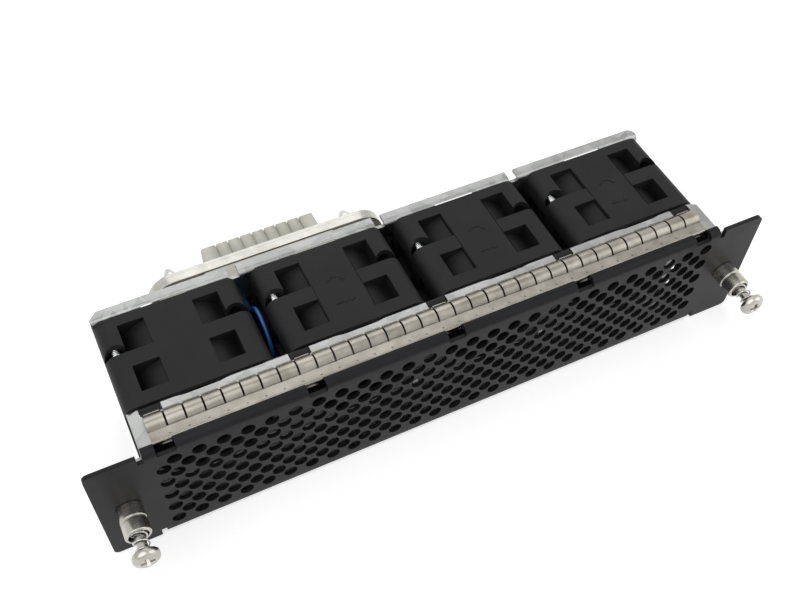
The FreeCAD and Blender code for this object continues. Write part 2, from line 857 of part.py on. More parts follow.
def make_rotor(index):
    """One fan's rotor: a cup over the motor, its shaft, and cambered blades trimmed to the duct."""
    body = new_body(f"fan_rotor_{index + 1}", fan_x(index), "fan_setback", FAN_AXIS)
    rear = "(fan_depth - base_thickness - hub_gap)"
    cup = new_sketch(body, "cup", "front", "hub_front")
    facets(cup, "0", "0", "hub_radius", 21)
    pad(body, cup, f"{rear} - hub_front")
    section = new_sketch(body, "blade", "top", "hub_radius - hub_wall")
    front = "blade_front"
    middle = "(blade_front + blade_length / 2)"
    tail = "(blade_front + blade_length)"
    half = "blade_thickness / 2"
    polygon(
        section,
        [
            (f"-blade_sweep - {half}", front),
            (f"-blade_sweep + {half}", front),
            (f"blade_camber + {half}", middle),
            (f"blade_sweep + {half}", tail),
            (f"blade_sweep - {half}", tail),
            (f"blade_camber - {half}", middle),
        ],
    )
    blade = pad(body, section, "duct_radius - hub_radius + hub_wall")
    round_of(body, blade, "blade_count")
    trim = new_sketch(body, "tip_trim", "front")
    facets(trim, "0", "0", "duct_radius - tip_gap", 28)
    rectangle(trim, "-fan_width", "fan_width", "-fan_width", "fan_width")
    pocket(body, trim)
    hollow = new_sketch(body, "hollow", "front", "hub_front + 1.5 * hub_wall")
    socket(hollow, "0", "0", "hub_radius - hub_wall", 14)
    pocket(body, hollow)
    shaft = new_sketch(body, "shaft", "front", "hub_front + hub_wall")
    circle(shaft, "0", "0", "shaft_radius")
    pad(body, shaft, f"{rear} - hub_front - hub_wall")
    return body


def make_bolts():
    """The fans' through bolts: a head in front of the fan wall, the end in the rear wall."""
    wall = value("fan_setback - frame_sheet")
    head = value("bolt_head_height")
    shank = value(f"{WALL_REAR} + bolt_end") - wall
    solids = []
    for x, z in bolt_places():
        seat = FreeCAD.Vector(value(x), wall, value(z))
        top = prism(seat, value("bolt_head / 2"), 8, -head)
        stem = prism(seat, value("bolt_shank / 2"), 6, shank)
        solids.append(top.fuse(stem).Solids[0])
    return place_feature("fan_bolts", Part.makeCompound(solids))


def prism(start, radius, sides, length):
    """A straight bar of that many sides along Y, from start."""
    corners = []
    for k in range(sides + 1):
        angle = math.tau * k / sides
        corners.append(start + FreeCAD.Vector(radius * math.cos(angle), 0, radius * math.sin(angle)))
    return Part.Face(Part.makePolygon(corners)).extrude(FreeCAD.Vector(0, length, 0))


def place_feature(name, shape):
    """A plain feature for a group or a route, in the same place as the bodies."""
    feature = doc.addObject("Part::Feature", name)
    feature.Label = name
    feature.Shape = shape
    feature.Placement = FreeCAD.Placement(FreeCAD.Vector(0, value(PLATE_FRONT), 0), FreeCAD.Rotation())
    return feature


def make_sleeve(side, sign):
    """A captive screw's barrel, clinched through the ear and the frame's tab."""
    body = new_body(f"captive_sleeve_{side}", f"{sign} * {SCREW_X}", "0", "screw_height")
    seat = "(plate_sheet + frame_sheet)"
    barrel = new_sketch(body, "barrel", "front", "-sleeve_length")
    facets(barrel, "0", "0", "sleeve_radius", 18)
    pad(body, barrel, "sleeve_length")
    neck = new_sketch(body, "neck", "front")
    facets(neck, "0", "0", "sleeve_neck", 12)
    pad(body, neck, seat)
    flare = new_sketch(body, "flare", "front", seat)
    facets(flare, "0", "0", "sleeve_flare", 12)
    pad(body, flare, "sleeve_flare_height")
    bore = new_sketch(body, "bore", "front", "-2 * sleeve_length")
    socket(bore, "0", "0", "sleeve_bore", 12)
    pocket(body, bore, "2 * sleeve_length - sleeve_floor")
    passage = new_sketch(body, "passage", "front", "-2 * sleeve_length")
    circle(passage, "0", "0", "screw_shank + running_clearance")
    pocket(body, passage)
    return body


def make_screw(side, sign):
    """A captive screw: a pan head and a shank that reaches through the sleeve and its ring."""
    body = new_body(f"captive_screw_{side}", f"{sign} * {SCREW_X}", "0", "screw_height")
    crown = f"({HEAD_REAR} - screw_head_height)"
    rim = "screw_head_height / 3"
    for name, level, radius, length in (
        ("crown", crown, "0.8 * screw_head_radius", rim),
        ("head", f"{crown} + {rim}", "screw_head_radius", f"screw_head_height - {rim}"),
    ):
        disc = new_sketch(body, name, "front", level)
        facets(disc, "0", "0", radius, 14)
        pad(body, disc, length)
    groove = f"({RING_FRONT} - ring_play)"
    groove_rear = f"({RING_FRONT} + ring_height + ring_play)"
    tip = f"({RING_FRONT} + ring_height + screw_tip)"
    for name, level, radius, end in (
        ("shank", HEAD_REAR, "screw_shank", groove),
        ("groove", groove, "screw_shank - ring_groove", groove_rear),
        ("tip", groove_rear, "screw_shank", tip),
    ):
        length = new_sketch(body, name, "front", level)
        circle(length, "0", "0", radius)
        pad(body, length, f"{end} - {level}")
    doc.recompute()
    base = body.Tip
    point = value(tip)
    edges = []
    for number, edge in enumerate(base.Shape.Edges, start=1):
        if edge.Curve.TypeId == "Part::GeomCircle" and near(edge.CenterOfMass.y, point):
            edges.append(f"Edge{number}")
    chamfer = body.newObject("PartDesign::Chamfer", f"{body.Name}_point")
    chamfer.Base = (base, edges)
    chamfer.setExpression("Size", formula("screw_point"))
    return body


def make_ring(side, sign):
    """The retaining ring in the captive screw's groove, which stops it behind the sleeve."""
    body = new_body(f"captive_ring_{side}", f"{sign} * {SCREW_X}", RING_FRONT, "screw_height")
    ring = new_sketch(body, "ring", "front")
    facets(ring, "0", "0", "ring_radius", 12)
    circle(ring, "0", "0", "screw_shank - ring_groove + running_clearance")
    pad(body, ring, "ring_height")
    return body


def make_spring(side, sign):
    """The coil between the sleeve's floor and the captive screw's head, of square wire."""
    front = value(HEAD_REAR)
    rear = value("-sleeve_floor - spring_wire")
    outer = value("spring_radius")
    wire = value("spring_wire")
    axis = FreeCAD.Vector(value(f"{sign} * {SCREW_X}"), 0, value("screw_height"))
    steps = 8 * round(value("spring_turns"))
    rings = []
    for k in range(steps + 1):
        angle = math.tau * k / 8
        out = FreeCAD.Vector(math.cos(angle), 0, math.sin(angle))
        start = axis + FreeCAD.Vector(0, front + (rear - front) * k / steps, 0)
        back = FreeCAD.Vector(0, wire, 0)
        inside = start + out * (outer - wire)
        outside = start + out * outer
        rings.append([inside, outside, outside + back, inside + back])
    faces = [Part.Face(Part.makePolygon([*rings[0], rings[0][0]]))]
    for first, second in zip(rings, rings[1:]):
        for i in range(4):
            j = (i + 1) % 4
            a, b, c, d = first[i], first[j], second[j], second[i]
            faces.append(Part.Face(Part.makePolygon([a, b, c, a])))
            faces.append(Part.Face(Part.makePolygon([a, c, d, a])))
    faces.append(Part.Face(Part.makePolygon([*rings[-1], rings[-1][0]])))
    coil = Part.Solid(Part.Shell(faces))
    coil.fixTolerance(1e-6)
    return place_feature(f"captive_spring_{side}", coil if coil.Volume > 0 else coil.reversed())


def make_connector():
    """The connector's moulded body: rounded ends, a raised middle and the ribbed mating block."""
    body = new_body("connector_body", "-connector_offset", WALL_REAR, "connector_axis_height")
    half = "connector_height / 2"
    base = new_sketch(body, "base", "front")
    polygon(base, round_cornered("connector_width / 2", half, f"({half} - connector_centre_rise)"))
    pad(body, base, "connector_depth")
    raised = new_sketch(body, "raised", "front")
    wide = "connector_centre_width / 2"
    rise = f"({half} + connector_centre_rise)"
    slope = "connector_centre_rise"
    polygon(
        raised,
        [
            (f"-{wide}", f"-{rise}"),
            (wide, f"-{rise}"),
            (f"{wide} + {slope}", f"-{half}"),
            (f"{wide} + {slope}", half),
            (wide, rise),
            (f"-{wide}", rise),
            (f"-{wide} - {slope}", half),
            (f"-{wide} - {slope}", f"-{half}"),
        ],
    )
    pad(body, raised, "connector_depth - shell_rim - shell_gap")
    mating = new_sketch(body, "mating", "front", "connector_depth")
    rectangle(mating, "-mating_width / 2", "mating_width / 2", "-mating_height / 2", "mating_height / 2")
    pad(body, mating, "mating_depth")
    cut_contact_places(body)
    return body


def cut_contact_places(body):
    """The grooves between the contacts on the mating block, and the contacts' mouths."""
    slots = new_sketch(body, "contact_slots", "front", "connector_depth + 2 * shell_sheet")
    for k in range(round(value("contact_count")) - 1):
        x = f"({k} - (contact_count - 2) / 2) * contact_pitch"
        for low, high in (
            ("mating_height / 2 - contact_slot_depth", "mating_height / 2 + contact_slot_depth"),
            ("-mating_height / 2 - contact_slot_depth", "-mating_height / 2 + contact_slot_depth"),
        ):
            rectangle(slots, f"{x} - contact_slot / 2", f"{x} + contact_slot / 2", low, high)
    pocket(body, slots)
    level = "connector_depth + mating_depth - contact_mouth_depth"
    mouths = new_sketch(body, "contact_mouths", "front", level)
    for k in range(round(value("contact_count"))):
        x = f"({k} - (contact_count - 1) / 2) * contact_pitch"
        rectangle(
            mouths,
            f"{x} - contact_mouth / 2",
            f"{x} + contact_mouth / 2",
            "-contact_mouth_height / 2",
            "contact_mouth_height / 2",
        )
    pocket(body, mouths)


def make_shell():
    """The connector's metal shell: a plate with rounded ends and a shallow forward rim."""
    body = new_body("connector_shell", "-connector_offset", WALL_REAR, "connector_axis_height")
    across = "shell_width / 2"
    up = "shell_height / 2"
    edge = f"({up} - shell_sheet)"
    plate = new_sketch(body, "plate", "front", "connector_depth - shell_rim")
    polygon(plate, round_cornered(across, up, edge))
    pad(body, plate, "shell_rim + shell_sheet")
    lip = "shell_lip"
    hollow = new_sketch(body, "hollow", "front", "connector_depth - 2 * shell_rim")
    polygon(hollow, round_cornered(f"({across} - {lip})", f"({up} - {lip})", f"({edge} - {lip})"))
    pocket(body, hollow, "2 * shell_rim")
    window = new_sketch(body, "window", "front", "connector_depth - shell_rim")
    gap = "shell_gap"
    rectangle(
        window,
        f"-mating_width / 2 - {gap}",
        f"mating_width / 2 + {gap}",
        f"-mating_height / 2 - {gap}",
        f"mating_height / 2 + {gap}",
    )
    pocket(body, window)
    return body


def make_contacts():
    """The spring contacts in the mating block, one in each mouth, seated on the mouth's floor."""
    length = value("contact_length")
    wide = value("contact_width")
    tall = value("contact_height")
    level = value(f"{WALL_REAR} + connector_depth + mating_depth - contact_mouth_depth")
    low = value("connector_axis_height - contact_height / 2")
    solids = []
    for k in range(round(value("contact_count"))):
        x = value(f"({k} - (contact_count - 1) / 2) * contact_pitch - connector_offset")
        corner = FreeCAD.Vector(x - wide / 2, level, low)
        solids.append(Part.makeBox(wide, length, tall, corner))
    return place_feature("connector_contacts", Part.makeCompound(solids))


def make_posts():
    """The two guide posts that find the mating half."""
    solids = []
    radius = value("post_radius")
    collar = value("post_collar")
    step = value("post_collar_height")
    length = value("post_length")
    nose = value("post_nose")
    for side in (-1, 1):
        x = value("-connector_offset") + side * value("post_spacing / 2")
        start = FreeCAD.Vector(x, value(SHELL_REAR), value("connector_axis_height"))
        line = [(0, 0), (radius, 0), (radius, length - nose), (radius / 2, length), (0, length), (0, 0)]
        corners = [start + FreeCAD.Vector(u, v, 0) for u, v in line]
        face = Part.Face(Part.makePolygon(corners))
        post = face.revolve(start, FreeCAD.Vector(0, 1, 0), 360)
        solids.append(post.fuse(prism(start, collar, 6, step)).Solids[0])
    return place_feature("connector_posts", Part.makeCompound(solids))


def make_nuts():
    """The two screw heads that hold the shell on the moulded body."""
    solids = []
    for side in (-1, 1):
        x = value("-connector_offset") + side * value("nut_spacing / 2")
        start = FreeCAD.Vector(x, value(SHELL_REAR), value("connector_axis_height"))
        solids.append(prism(start, value("nut_radius"), 12, value("nut_height")))
    return place_feature("connector_screws", Part.makeCompound(solids))


def tangent_path(points):
    """Straight runs joined by arcs, each arc as large as its two runs allow."""
    edges = []
    start = points[0]
    radii = []
    for before, corner, after in zip(points, points[1:], points[2:]):
        inward = (before - corner).normalize()
        outward = (after - corner).normalize()
        half_turn = (math.pi - inward.getAngle(outward)) / 2
        run = min((before - corner).Length, (after - corner).Length)
        reach = 0.45 * run
        radius = reach / math.tan(half_turn)
        radii.append(radius)
        first = corner + inward * reach
        last = corner + outward * reach
        bisector = (inward + outward).normalize()
        centre = corner + bisector * math.hypot(radius, reach)
        middle = centre - bisector * radius
        edges.append(Part.LineSegment(start, first).toShape())
        edges.append(Part.Arc(first, middle, last).toShape())
        start = last
    edges.append(Part.LineSegment(start, points[-1]).toShape())
    return Part.Wire(edges), radii


def make_lead(name, route):
    """A fan's lead, a tube along its route."""
    path, radii = tangent_path([FreeCAD.Vector(*point) for point in route])
    radius = value("lead_radius")
    start = path.Edges[0].Vertexes[0].Point
    direction = path.Edges[0].tangentAt(path.Edges[0].FirstParameter)
    across = direction.cross(FreeCAD.Vector(1, 0, 0)).normalize()
    side = across.cross(direction)
    corners = []
    for k in range(7):
        angle = math.tau * k / 6
        corners.append(start + across * (radius * math.cos(angle)) + side * (radius * math.sin(angle)))
    section = Part.makePolygon(corners)
    tube = path.makePipeShell([section], True, True)
    print(name, "radii", [round(r, 1) for r in radii], "of diameter", 2 * radius)
    expected = Part.Face(section).Area * path.Length
    if abs(tube.Volume - expected) > 0.01 * expected:
        raise RuntimeError(f"{name}: the tube's volume is {tube.Volume}, not {expected}")
    return place_feature(name, tube.Solids[0])


# The visible lead's route between the first two fans, from the second fan's side up, over and down
# to the hole in the rear wall, in millimetres from the plate's bottom front edge.
BLUE_LEAD = [
    (-42.0, 21.5, 14.0),
    (-42.0, 20.0, 27.5),
    (-42.0, 26.5, 35.4),
    (-42.0, 34.0, 34.6),
    (-42.0, 36.8, 26.5),
    (-42.0, 42.8, 26.5),
]


def make_all():
    pieces = [make_faceplate(), make_gasket(), make_front_frame(), make_pan()]
    for index in range(round(value("fan_count"))):
        pieces.append(make_housing(index))
        pieces.append(make_bearing(index))
        pieces.append(make_stator(index))
        pieces.append(make_rotor(index))
    pieces.append(make_bolts())
    for side, sign in (("left", "-1"), ("right", "1")):
        pieces.append(make_sleeve(side, sign))
        pieces.append(make_screw(side, sign))
        pieces.append(make_ring(side, sign))
        pieces.append(make_spring(side, sign))
    pieces += [make_connector(), make_shell(), make_contacts(), make_posts(), make_nuts()]
    pieces.append(make_lead("fan_lead_blue", BLUE_LEAD))
    return pieces


def export(pieces):
    """Checks every object, then writes each piece to a file of its own name."""
    doc.recompute()
    for item in doc.Objects:
        if "Invalid" in item.State or "Error" in item.State:
            raise RuntimeError(f"{item.Name} is {item.State}")
    for piece in pieces:
        if piece.Shape.isNull() or not piece.Shape.isValid():
            raise RuntimeError(f"{piece.Label} has no valid shape")
    os.makedirs("parts", exist_ok=True)
    for piece in pieces:
        piece.Shape.exportStep(f"parts/{piece.Label}.step")
        print(piece.Label, len(piece.Shape.Solids), round(piece.Shape.Volume, 1))


fill_sheet()
export(make_all())
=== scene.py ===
"""The looks of a plug-in fan tray for a network switch, built over its solid model.

Every piece is made in the solid model's own frame: X along the faceplate, Y from the front to the
back, Z up. Sizes are in millimetres unless a line says metres, and depths are counted from the
plate's front face, as in the model.
"""
import json
import math
from collections import namedtuple

import bmesh
import bpy
from bpy.props import FloatProperty, FloatVectorProperty, IntProperty, PointerProperty
from mathutils import Matrix, Vector
from mathutils.geometry import delaunay_2d_cdt


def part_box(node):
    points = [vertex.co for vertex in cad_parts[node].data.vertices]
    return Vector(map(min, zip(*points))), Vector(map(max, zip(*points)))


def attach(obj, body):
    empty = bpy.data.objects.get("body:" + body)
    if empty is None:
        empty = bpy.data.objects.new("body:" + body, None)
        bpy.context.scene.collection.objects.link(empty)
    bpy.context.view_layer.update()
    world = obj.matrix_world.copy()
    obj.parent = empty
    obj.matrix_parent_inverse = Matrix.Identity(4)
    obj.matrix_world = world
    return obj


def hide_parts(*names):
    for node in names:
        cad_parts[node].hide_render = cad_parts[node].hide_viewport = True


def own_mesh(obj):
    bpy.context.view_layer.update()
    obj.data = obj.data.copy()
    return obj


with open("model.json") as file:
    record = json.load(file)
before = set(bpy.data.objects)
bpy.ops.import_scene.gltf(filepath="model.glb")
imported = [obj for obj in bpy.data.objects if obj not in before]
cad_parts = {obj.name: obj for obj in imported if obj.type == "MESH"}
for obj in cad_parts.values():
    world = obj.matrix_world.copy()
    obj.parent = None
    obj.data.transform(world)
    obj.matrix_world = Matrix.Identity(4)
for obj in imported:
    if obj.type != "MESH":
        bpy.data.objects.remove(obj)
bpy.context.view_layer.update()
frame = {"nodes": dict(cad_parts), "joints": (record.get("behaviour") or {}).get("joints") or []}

bl_info = {
    "name": "Switch fan tray",
    "version": (1, 0, 0),
    "blender": (4, 5, 0),
    "location": "View3D > Sidebar > Fan tray",
    "description": "Builds the visible pieces of a plug-in fan tray",
    "category": "Add Mesh",
}

MM = 0.001
PLATE_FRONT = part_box("faceplate")[0].y / MM
Extent = namedtuple("Extent", "left right front rear low high")


def extent(node):
    """A solid's six sides in millimetres, depths counted from the plate's front."""
    low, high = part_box(node)
    front, rear = (corner.y / MM - PLATE_FRONT for corner in (low, high))
    return Extent(low.x / MM, high.x / MM, front, rear, low.z / MM, high.z / MM)


PLATE_HALF, PLATE_TOP = extent("faceplate").right, extent("faceplate").high
FAN_COUNT = 4
SIDES = (("left", -1), ("right", 1))
# The spacing of the notches in plate and shelf.
NOTCH_PITCH = 38.0
SHELF_NOTCH_DEPTH = 3.0
# The corners of each fan that its two bolts pass, across and up, and the holes' radii.
BOLT_CORNERS = ((-1, 1), (1, -1))
BOLT_HOLE, PAN_BOLT_HOLE = 1.65, 1.46
# Directions of a prism, then of its outline's u and v.
BACKWARD = ((0, 1, 0), (1, 0, 0), (0, 0, 1))
UPWARD = ((0, 0, 1), (1, 0, 0), (0, 1, 0))
SIDEWAYS = ((1, 0, 0), (0, 1, 0), (0, 0, 1))


# Shader wiring.
class Wire:
    """A shader socket that can be added, subtracted, multiplied and divided."""

    def __init__(self, tree, socket):
        self.tree = tree
        self.socket = socket

    def math(self, operation, *others):
        """Any operation of the Math node, with this value first."""
        node = self.tree.nodes.new("ShaderNodeMath")
        node.operation = operation
        for slot, item in zip(node.inputs, (self, *others)):
            plug(self.tree, item, slot)
        return Wire(self.tree, node.outputs[0])

    def __add__(self, other):
        return self.math("ADD", other)

    def __sub__(self, other):
        return self.math("SUBTRACT", other)

    def __mul__(self, other):
        return self.math("MULTIPLY", other)

    def __truediv__(self, other):
        return self.math("DIVIDE", other)

    __radd__, __rmul__ = __add__, __mul__

    def __rsub__(self, other):
        return (self * -1).math("ADD", other)

    def __rtruediv__(self, other):
        return self.math("POWER", -1).math("MULTIPLY", other)


def plug(tree, item, slot):
    """Links a wire to a socket, or sets the socket to a plain value."""
    if isinstance(item, Wire):
        tree.links.new(item.socket, slot)
    elif isinstance(item, (tuple, list)) and len(item) == 3 and slot.type == "RGBA":
        slot.default_value = (*item, 1)
    else:
        slot.default_value = item


class Nodes:
    """A node tree that gets new nodes."""

    def __init__(self, tree):
        self.tree = tree

    def node(self, kind, output, settings=None, slots=None, **inputs):
        """Adds a node, sets its properties and its sockets by number or name, and gives one output."""
        node = self.tree.nodes.new(kind)
        for key, item in (settings or {}).items():
            setattr(node, key, item)
        for number, item in (slots or {}).items():
            plug(self.tree, item, node.inputs[number])
        for key, item in inputs.items():
            plug(self.tree, item, node.inputs[key.replace("_", " ")])
        return Wire(self.tree, node.outputs[output])


class Finish(Nodes):
    """A procedural material under construction."""

    def __init__(self, name):
        self.material = bpy.data.materials.new(name)
        self.material.use_nodes = True
        super().__init__(self.material.node_tree)
        self.shader = self.tree.nodes["Principled BSDF"]
        self.place = self.node("ShaderNodeTexCoord", "Object")

    def noise(self, size, detail=3.0, stretch=(1, 1, 1)):
        """Noise from 0 to 1 with grains of that size."""
        place = self.node("ShaderNodeMapping", "Vector", Vector=self.place, Scale=stretch)
        look = {"Scale": 1 / (size * MM), "Detail": detail, "Roughness": 0.55}
        return self.node("ShaderNodeTexNoise", "Fac", Vector=place, **look)

    def cells(self, size, channel):
        """Cells of that size, each of its own random shade."""
        cells = self.node("ShaderNodeTexVoronoi", "Color", Vector=self.place, Scale=1 / (size * MM))
        return self.node("ShaderNodeSeparateColor", channel, Color=cells)

    def span(self, wire, low, high, first=0.0, last=1.0):
        """The wire's stretch from low to high, laid over first to last."""
        ends = {"From_Min": low, "From_Max": high, "To_Min": first, "To_Max": last}
        return self.node("ShaderNodeMapRange", "Result", Value=wire, **ends)

    def blend(self, factor, first, last):
        """A colour between two others."""
        return self.node("ShaderNodeMix", 2, {"data_type": "RGBA"}, {0: factor, 6: first, 7: last})

    def relief(self, height, depth, strength):
        """Bump of that depth."""
        return self.node("ShaderNodeBump", "Normal", Height=height, Distance=depth * MM, Strength=strength)

    def done(self, **inputs):
        """Sets the surface's sockets and returns the material."""
        for key, item in inputs.items():
            plug(self.tree, item, self.shader.inputs[key.replace("_", " ")])
        return self.material


def powder_coat(dark, light):
    f = Finish("black_powder_coat")
    grain = f.noise(0.28, 4.0)
    cloud = f.noise(14)
    return f.done(
        Base_Color=f.blend(f.span(grain + cloud * 0.6, 0.55, 1.05), dark, light),
        Roughness=f.span(cloud + grain * 0.5, 0.5, 1.0, 0.34, 0.47),
        Specular_IOR_Level=0.16,
        Normal=f.relief(grain, 0.03, 0.55),
    )


def dull_nickel():
    f = Finish("dull_nickel")
    brushed = f.noise(0.5, 3.0, (0.08, 1, 1))
    stain = f.noise(5.0, 4.0)
    fine = f.noise(0.12, 2.0)
    return f.done(
        Base_Color=f.blend(f.span(stain, 0.35, 0.7), (0.25, 0.235, 0.20), (0.38, 0.36, 0.32)),
        Metallic=1.0,
        Roughness=f.span(stain + brushed, 0.7, 1.3, 0.20, 0.34),
        Normal=f.relief(brushed + fine * 0.4, 0.02, 0.35),
    )


def galvanised():
    """Zinc with its spangle of large and small crystals."""
    f = Finish("galvanised_sheet")
    cloud = f.noise(9, 4.0)
    fine = f.noise(0.2)
    mix = f.cells(3.2, "Red") * 0.45 + f.cells(7.5, "Green") * 0.3 + cloud * 0.25
    return f.done(
        Base_Color=f.blend(f.span(mix, 0.25, 0.75), (0.27, 0.275, 0.27), (0.40, 0.405, 0.40)),
        Metallic=1.0,
        Roughness=f.span(mix + fine * 0.3, 0.4, 1.0, 0.26, 0.44),
        Normal=f.relief(fine + cloud * 0.5, 0.02, 0.3),
    )


def moulded(name, dark, light, rough, grain_size, grain_depth, gloss):
    """Moulded plastic with a spark-eroded grain."""
    f = Finish(name)
    grain = f.noise(grain_size)
    cloud = f.noise(11)
    return f.done(
        Base_Color=f.blend(f.span(cloud + grain * 0.4, 0.45, 0.9), dark, light),
        Roughness=f.span(grain + cloud, 0.6, 1.3, *rough),
        Specular_IOR_Level=gloss,
        Normal=f.relief(grain, grain_depth, 0.5),
    )


def metal(name, dark, light, rough, stretch=(1, 1, 1), size=0.4):
    """Plated or drawn metal, finely marked along its grain."""
    f = Finish(name)
    mark = f.noise(size, 3.0, stretch)
    cloud = f.noise(4.0)
    return f.done(
        Base_Color=f.blend(f.span(cloud + mark * 0.3, 0.4, 0.85), dark, light),
        Metallic=1.0,
        Roughness=f.span(mark + cloud * 0.5, 0.5, 1.0, *rough),
        Normal=f.relief(mark, 0.012, 0.3),
    )


def laminated():
    """A stack of thin stampings, seen from its side."""
    f = Finish("laminated_core")
    bands = {"bands_direction": "Y"}
    stack = f.node("ShaderNodeTexWave", "Fac", bands, Vector=f.place, Scale=520.0, Distortion=0.3)
    cloud = f.noise(3)
    return f.done(
        Base_Color=f.blend(
            f.span(stack * 0.6 + cloud * 0.5, 0.3, 0.9), (0.10, 0.09, 0.085), (0.30, 0.27, 0.24)
        ),
        Metallic=0.8,
        Roughness=f.span(cloud, 0.3, 0.7, 0.35, 0.5),
        Normal=f.relief(stack, 0.05, 0.4),
    )


def insulation(name, dark, light):
    f = Finish(name)
    cloud = f.noise(2.5)
    fine = f.noise(0.15, 2.0)
    return f.done(
        Base_Color=f.blend(f.span(cloud, 0.35, 0.7), dark, light),
        Roughness=f.span(fine + cloud * 0.5, 0.5, 1.0, 0.34, 0.48),
        Coat_Weight=0.15,
        Normal=f.relief(fine, 0.01, 0.3),
    )


MATERIALS = {}


def make_materials(colours):
    """Every finish, the painted and moulded ones in the colours of the settings."""

    def tones(name):
        return tuple(getattr(colours, f"{name}_dark")), tuple(getattr(colours, f"{name}_light"))

    MATERIALS.update(
        plate=powder_coat(*tones("plate")),
        nickel=dull_nickel(),
        zinc=galvanised(),
        fan=moulded("fan_plastic", *tones("fan"), (0.44, 0.60), 0.16, 0.03, gloss=0.2),
        rotor=moulded("rotor_plastic", *tones("rotor"), (0.30, 0.42), 0.22, 0.012, gloss=0.35),
        cream=moulded("cream_plastic", *tones("connector"), (0.36, 0.50), 0.3, 0.015, gloss=0.4),
        brass=metal("sintered_brass", (0.48, 0.34, 0.14), (0.68, 0.50, 0.24), (0.28, 0.42)),
        bright=metal("bright_zinc", (0.46, 0.47, 0.48), (0.64, 0.65, 0.65), (0.16, 0.28), (1, 0.15, 1)),
        screw=metal("screw_nickel", (0.38, 0.36, 0.32), (0.54, 0.52, 0.47), (0.17, 0.30), (1, 3, 1), 0.25),
        spring=metal("spring_wire", (0.45, 0.45, 0.45), (0.66, 0.66, 0.66), (0.22, 0.34), size=0.2),
        shell=metal("tin_plate", (0.38, 0.37, 0.34), (0.54, 0.53, 0.49), (0.18, 0.32), (0.2, 1, 1), 0.5),
        gold=metal("contact_gold", (0.66, 0.46, 0.16), (0.86, 0.64, 0.28), (0.16, 0.26)),
        copper=metal(
            "enamelled_copper", (0.42, 0.16, 0.06), (0.62, 0.27, 0.11), (0.22, 0.36), (1, 1, 6), 0.3
        ),
        core=laminated(),
        blue=insulation("blue_insulation", *tones("lead")),
    )


# Mesh building.
def at(x, y, z):
    """A point in metres from millimetres, its depth counted from the plate's front."""
    return Vector((x, y + PLATE_FRONT, z)) * MM


def new_piece(name, vertices, faces, merge=False):
    """A smooth mesh object whose vertices are already in place, equal ones made one on request."""
    mesh = bpy.data.meshes.new(name)
    mesh.from_pydata([tuple(v) for v in vertices], [], faces)
    mesh.validate()
    shape = bmesh.new()
    shape.from_mesh(mesh)
    if merge:
        bmesh.ops.remove_doubles(shape, verts=shape.verts[:], dist=1e-7)
    bmesh.ops.recalc_face_normals(shape, faces=shape.faces[:])
    for face in shape.faces:
        face.smooth = True
    shape.to_mesh(mesh)
    shape.free()
    piece = bpy.data.objects.new(name, mesh)
    bpy.context.scene.collection.objects.link(piece)
    return piece


def bake(piece):
    """Applies a piece's modifiers to its mesh."""
    bpy.context.view_layer.update()
    graph = bpy.context.evaluated_depsgraph_get()
    mesh = bpy.data.meshes.new_from_object(piece.evaluated_get(graph))
    piece.modifiers.clear()
    old = piece.data
    piece.data = mesh
    bpy.data.meshes.remove(old)
    return piece


def bevel(piece, width, segments=2, angle=38):
    """Rounds a piece's sharp edges by that width."""
    tool = piece.modifiers.new("edges", "BEVEL")
    tool.width = width * MM
    tool.segments = segments
    tool.limit_method = "ANGLE"
    tool.angle_limit = math.radians(angle)
    tool.harden_normals = True
    tool.miter_outer = "MITER_ARC"
    return piece


def carve(piece, cutters):
    """Cuts closed meshes out of another, all in one go."""
    cutter = join(cutters)
    tool = piece.modifiers.new("cut", "BOOLEAN")
    tool.operation = "DIFFERENCE"
    tool.solver = "EXACT"
    tool.object = cutter
    bake(piece)
    bpy.data.objects.remove(cutter)
    if not piece.data.polygons:
        raise RuntimeError(f"nothing is left of {piece.name}")
    return piece


def join(pieces, name=None):
    """Several meshes as the first one of them, under a name of its own where one is given."""
    shape = bmesh.new()
    for piece in pieces:
        shape.from_mesh(piece.data)
    shape.to_mesh(pieces[0].data)
    shape.free()
    for piece in pieces[1:]:
        bpy.data.objects.remove(piece)
    if name:
        pieces[0].name = name
    return pieces[0]


def dress(piece, material, body, node=None):
    """Gives a piece its material and the body it rides on, and hides the solid it stands for."""
    piece.data.materials.clear()
    piece.data.materials.append(MATERIALS[material])
    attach(piece, body)
    if node:
        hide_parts(node)
    return piece


def dress_node(node, material, width):
    """Gives a solid of the model its material and fine edges."""
    piece = frame["nodes"][node]
    piece.data.materials.clear()
    piece.data.materials.append(MATERIALS[material])
    weld = piece.modifiers.new("weld", "WELD")
    weld.merge_threshold = 0.002 * MM
    bevel(piece, width)


def arc(u, v, radius, start, end, steps):
    """Points along an arc, angles in degrees."""
    turn = [math.radians(start + (end - start) * i / steps) for i in range(steps + 1)]
    return [(u + radius * math.cos(a), v + radius * math.sin(a)) for a in turn]


def polar(radius, angle):
    """The point at that radius and angle in degrees."""
    return radius * math.cos(math.radians(angle)), radius * math.sin(math.radians(angle))


def ring(u, v, radius, steps):
    return arc(u, v, radius, 0, 360, steps)[:-1]


def oblong(left, right, low, high):
    return [(left, low), (right, low), (right, high), (left, high)]


def rounded(left, right, low, high, radius, steps=6):
    """An oblong with round corners."""
    points = arc(right - radius, high - radius, radius, 0, 90, steps)
    points += arc(left + radius, high - radius, radius, 90, 180, steps)
    points += arc(left + radius, low + radius, radius, 180, 270, steps)
    points += arc(right - radius, low + radius, radius, 270, 360, steps)
    return points


def mirrored(points):
    """The points' images on the other side of u = 0, in the order that goes on round the outline."""
    return [(-u, v) for u, v in reversed(points)]


def anticlockwise(loop):
    """The loop's points, turned round where they run clockwise."""
    area = sum(a[0] * b[1] - b[0] * a[1] for a, b in zip(loop, [*loop[1:], loop[0]]))
    return [Vector(p) for p in (loop if area > 0 else reversed(loop))]


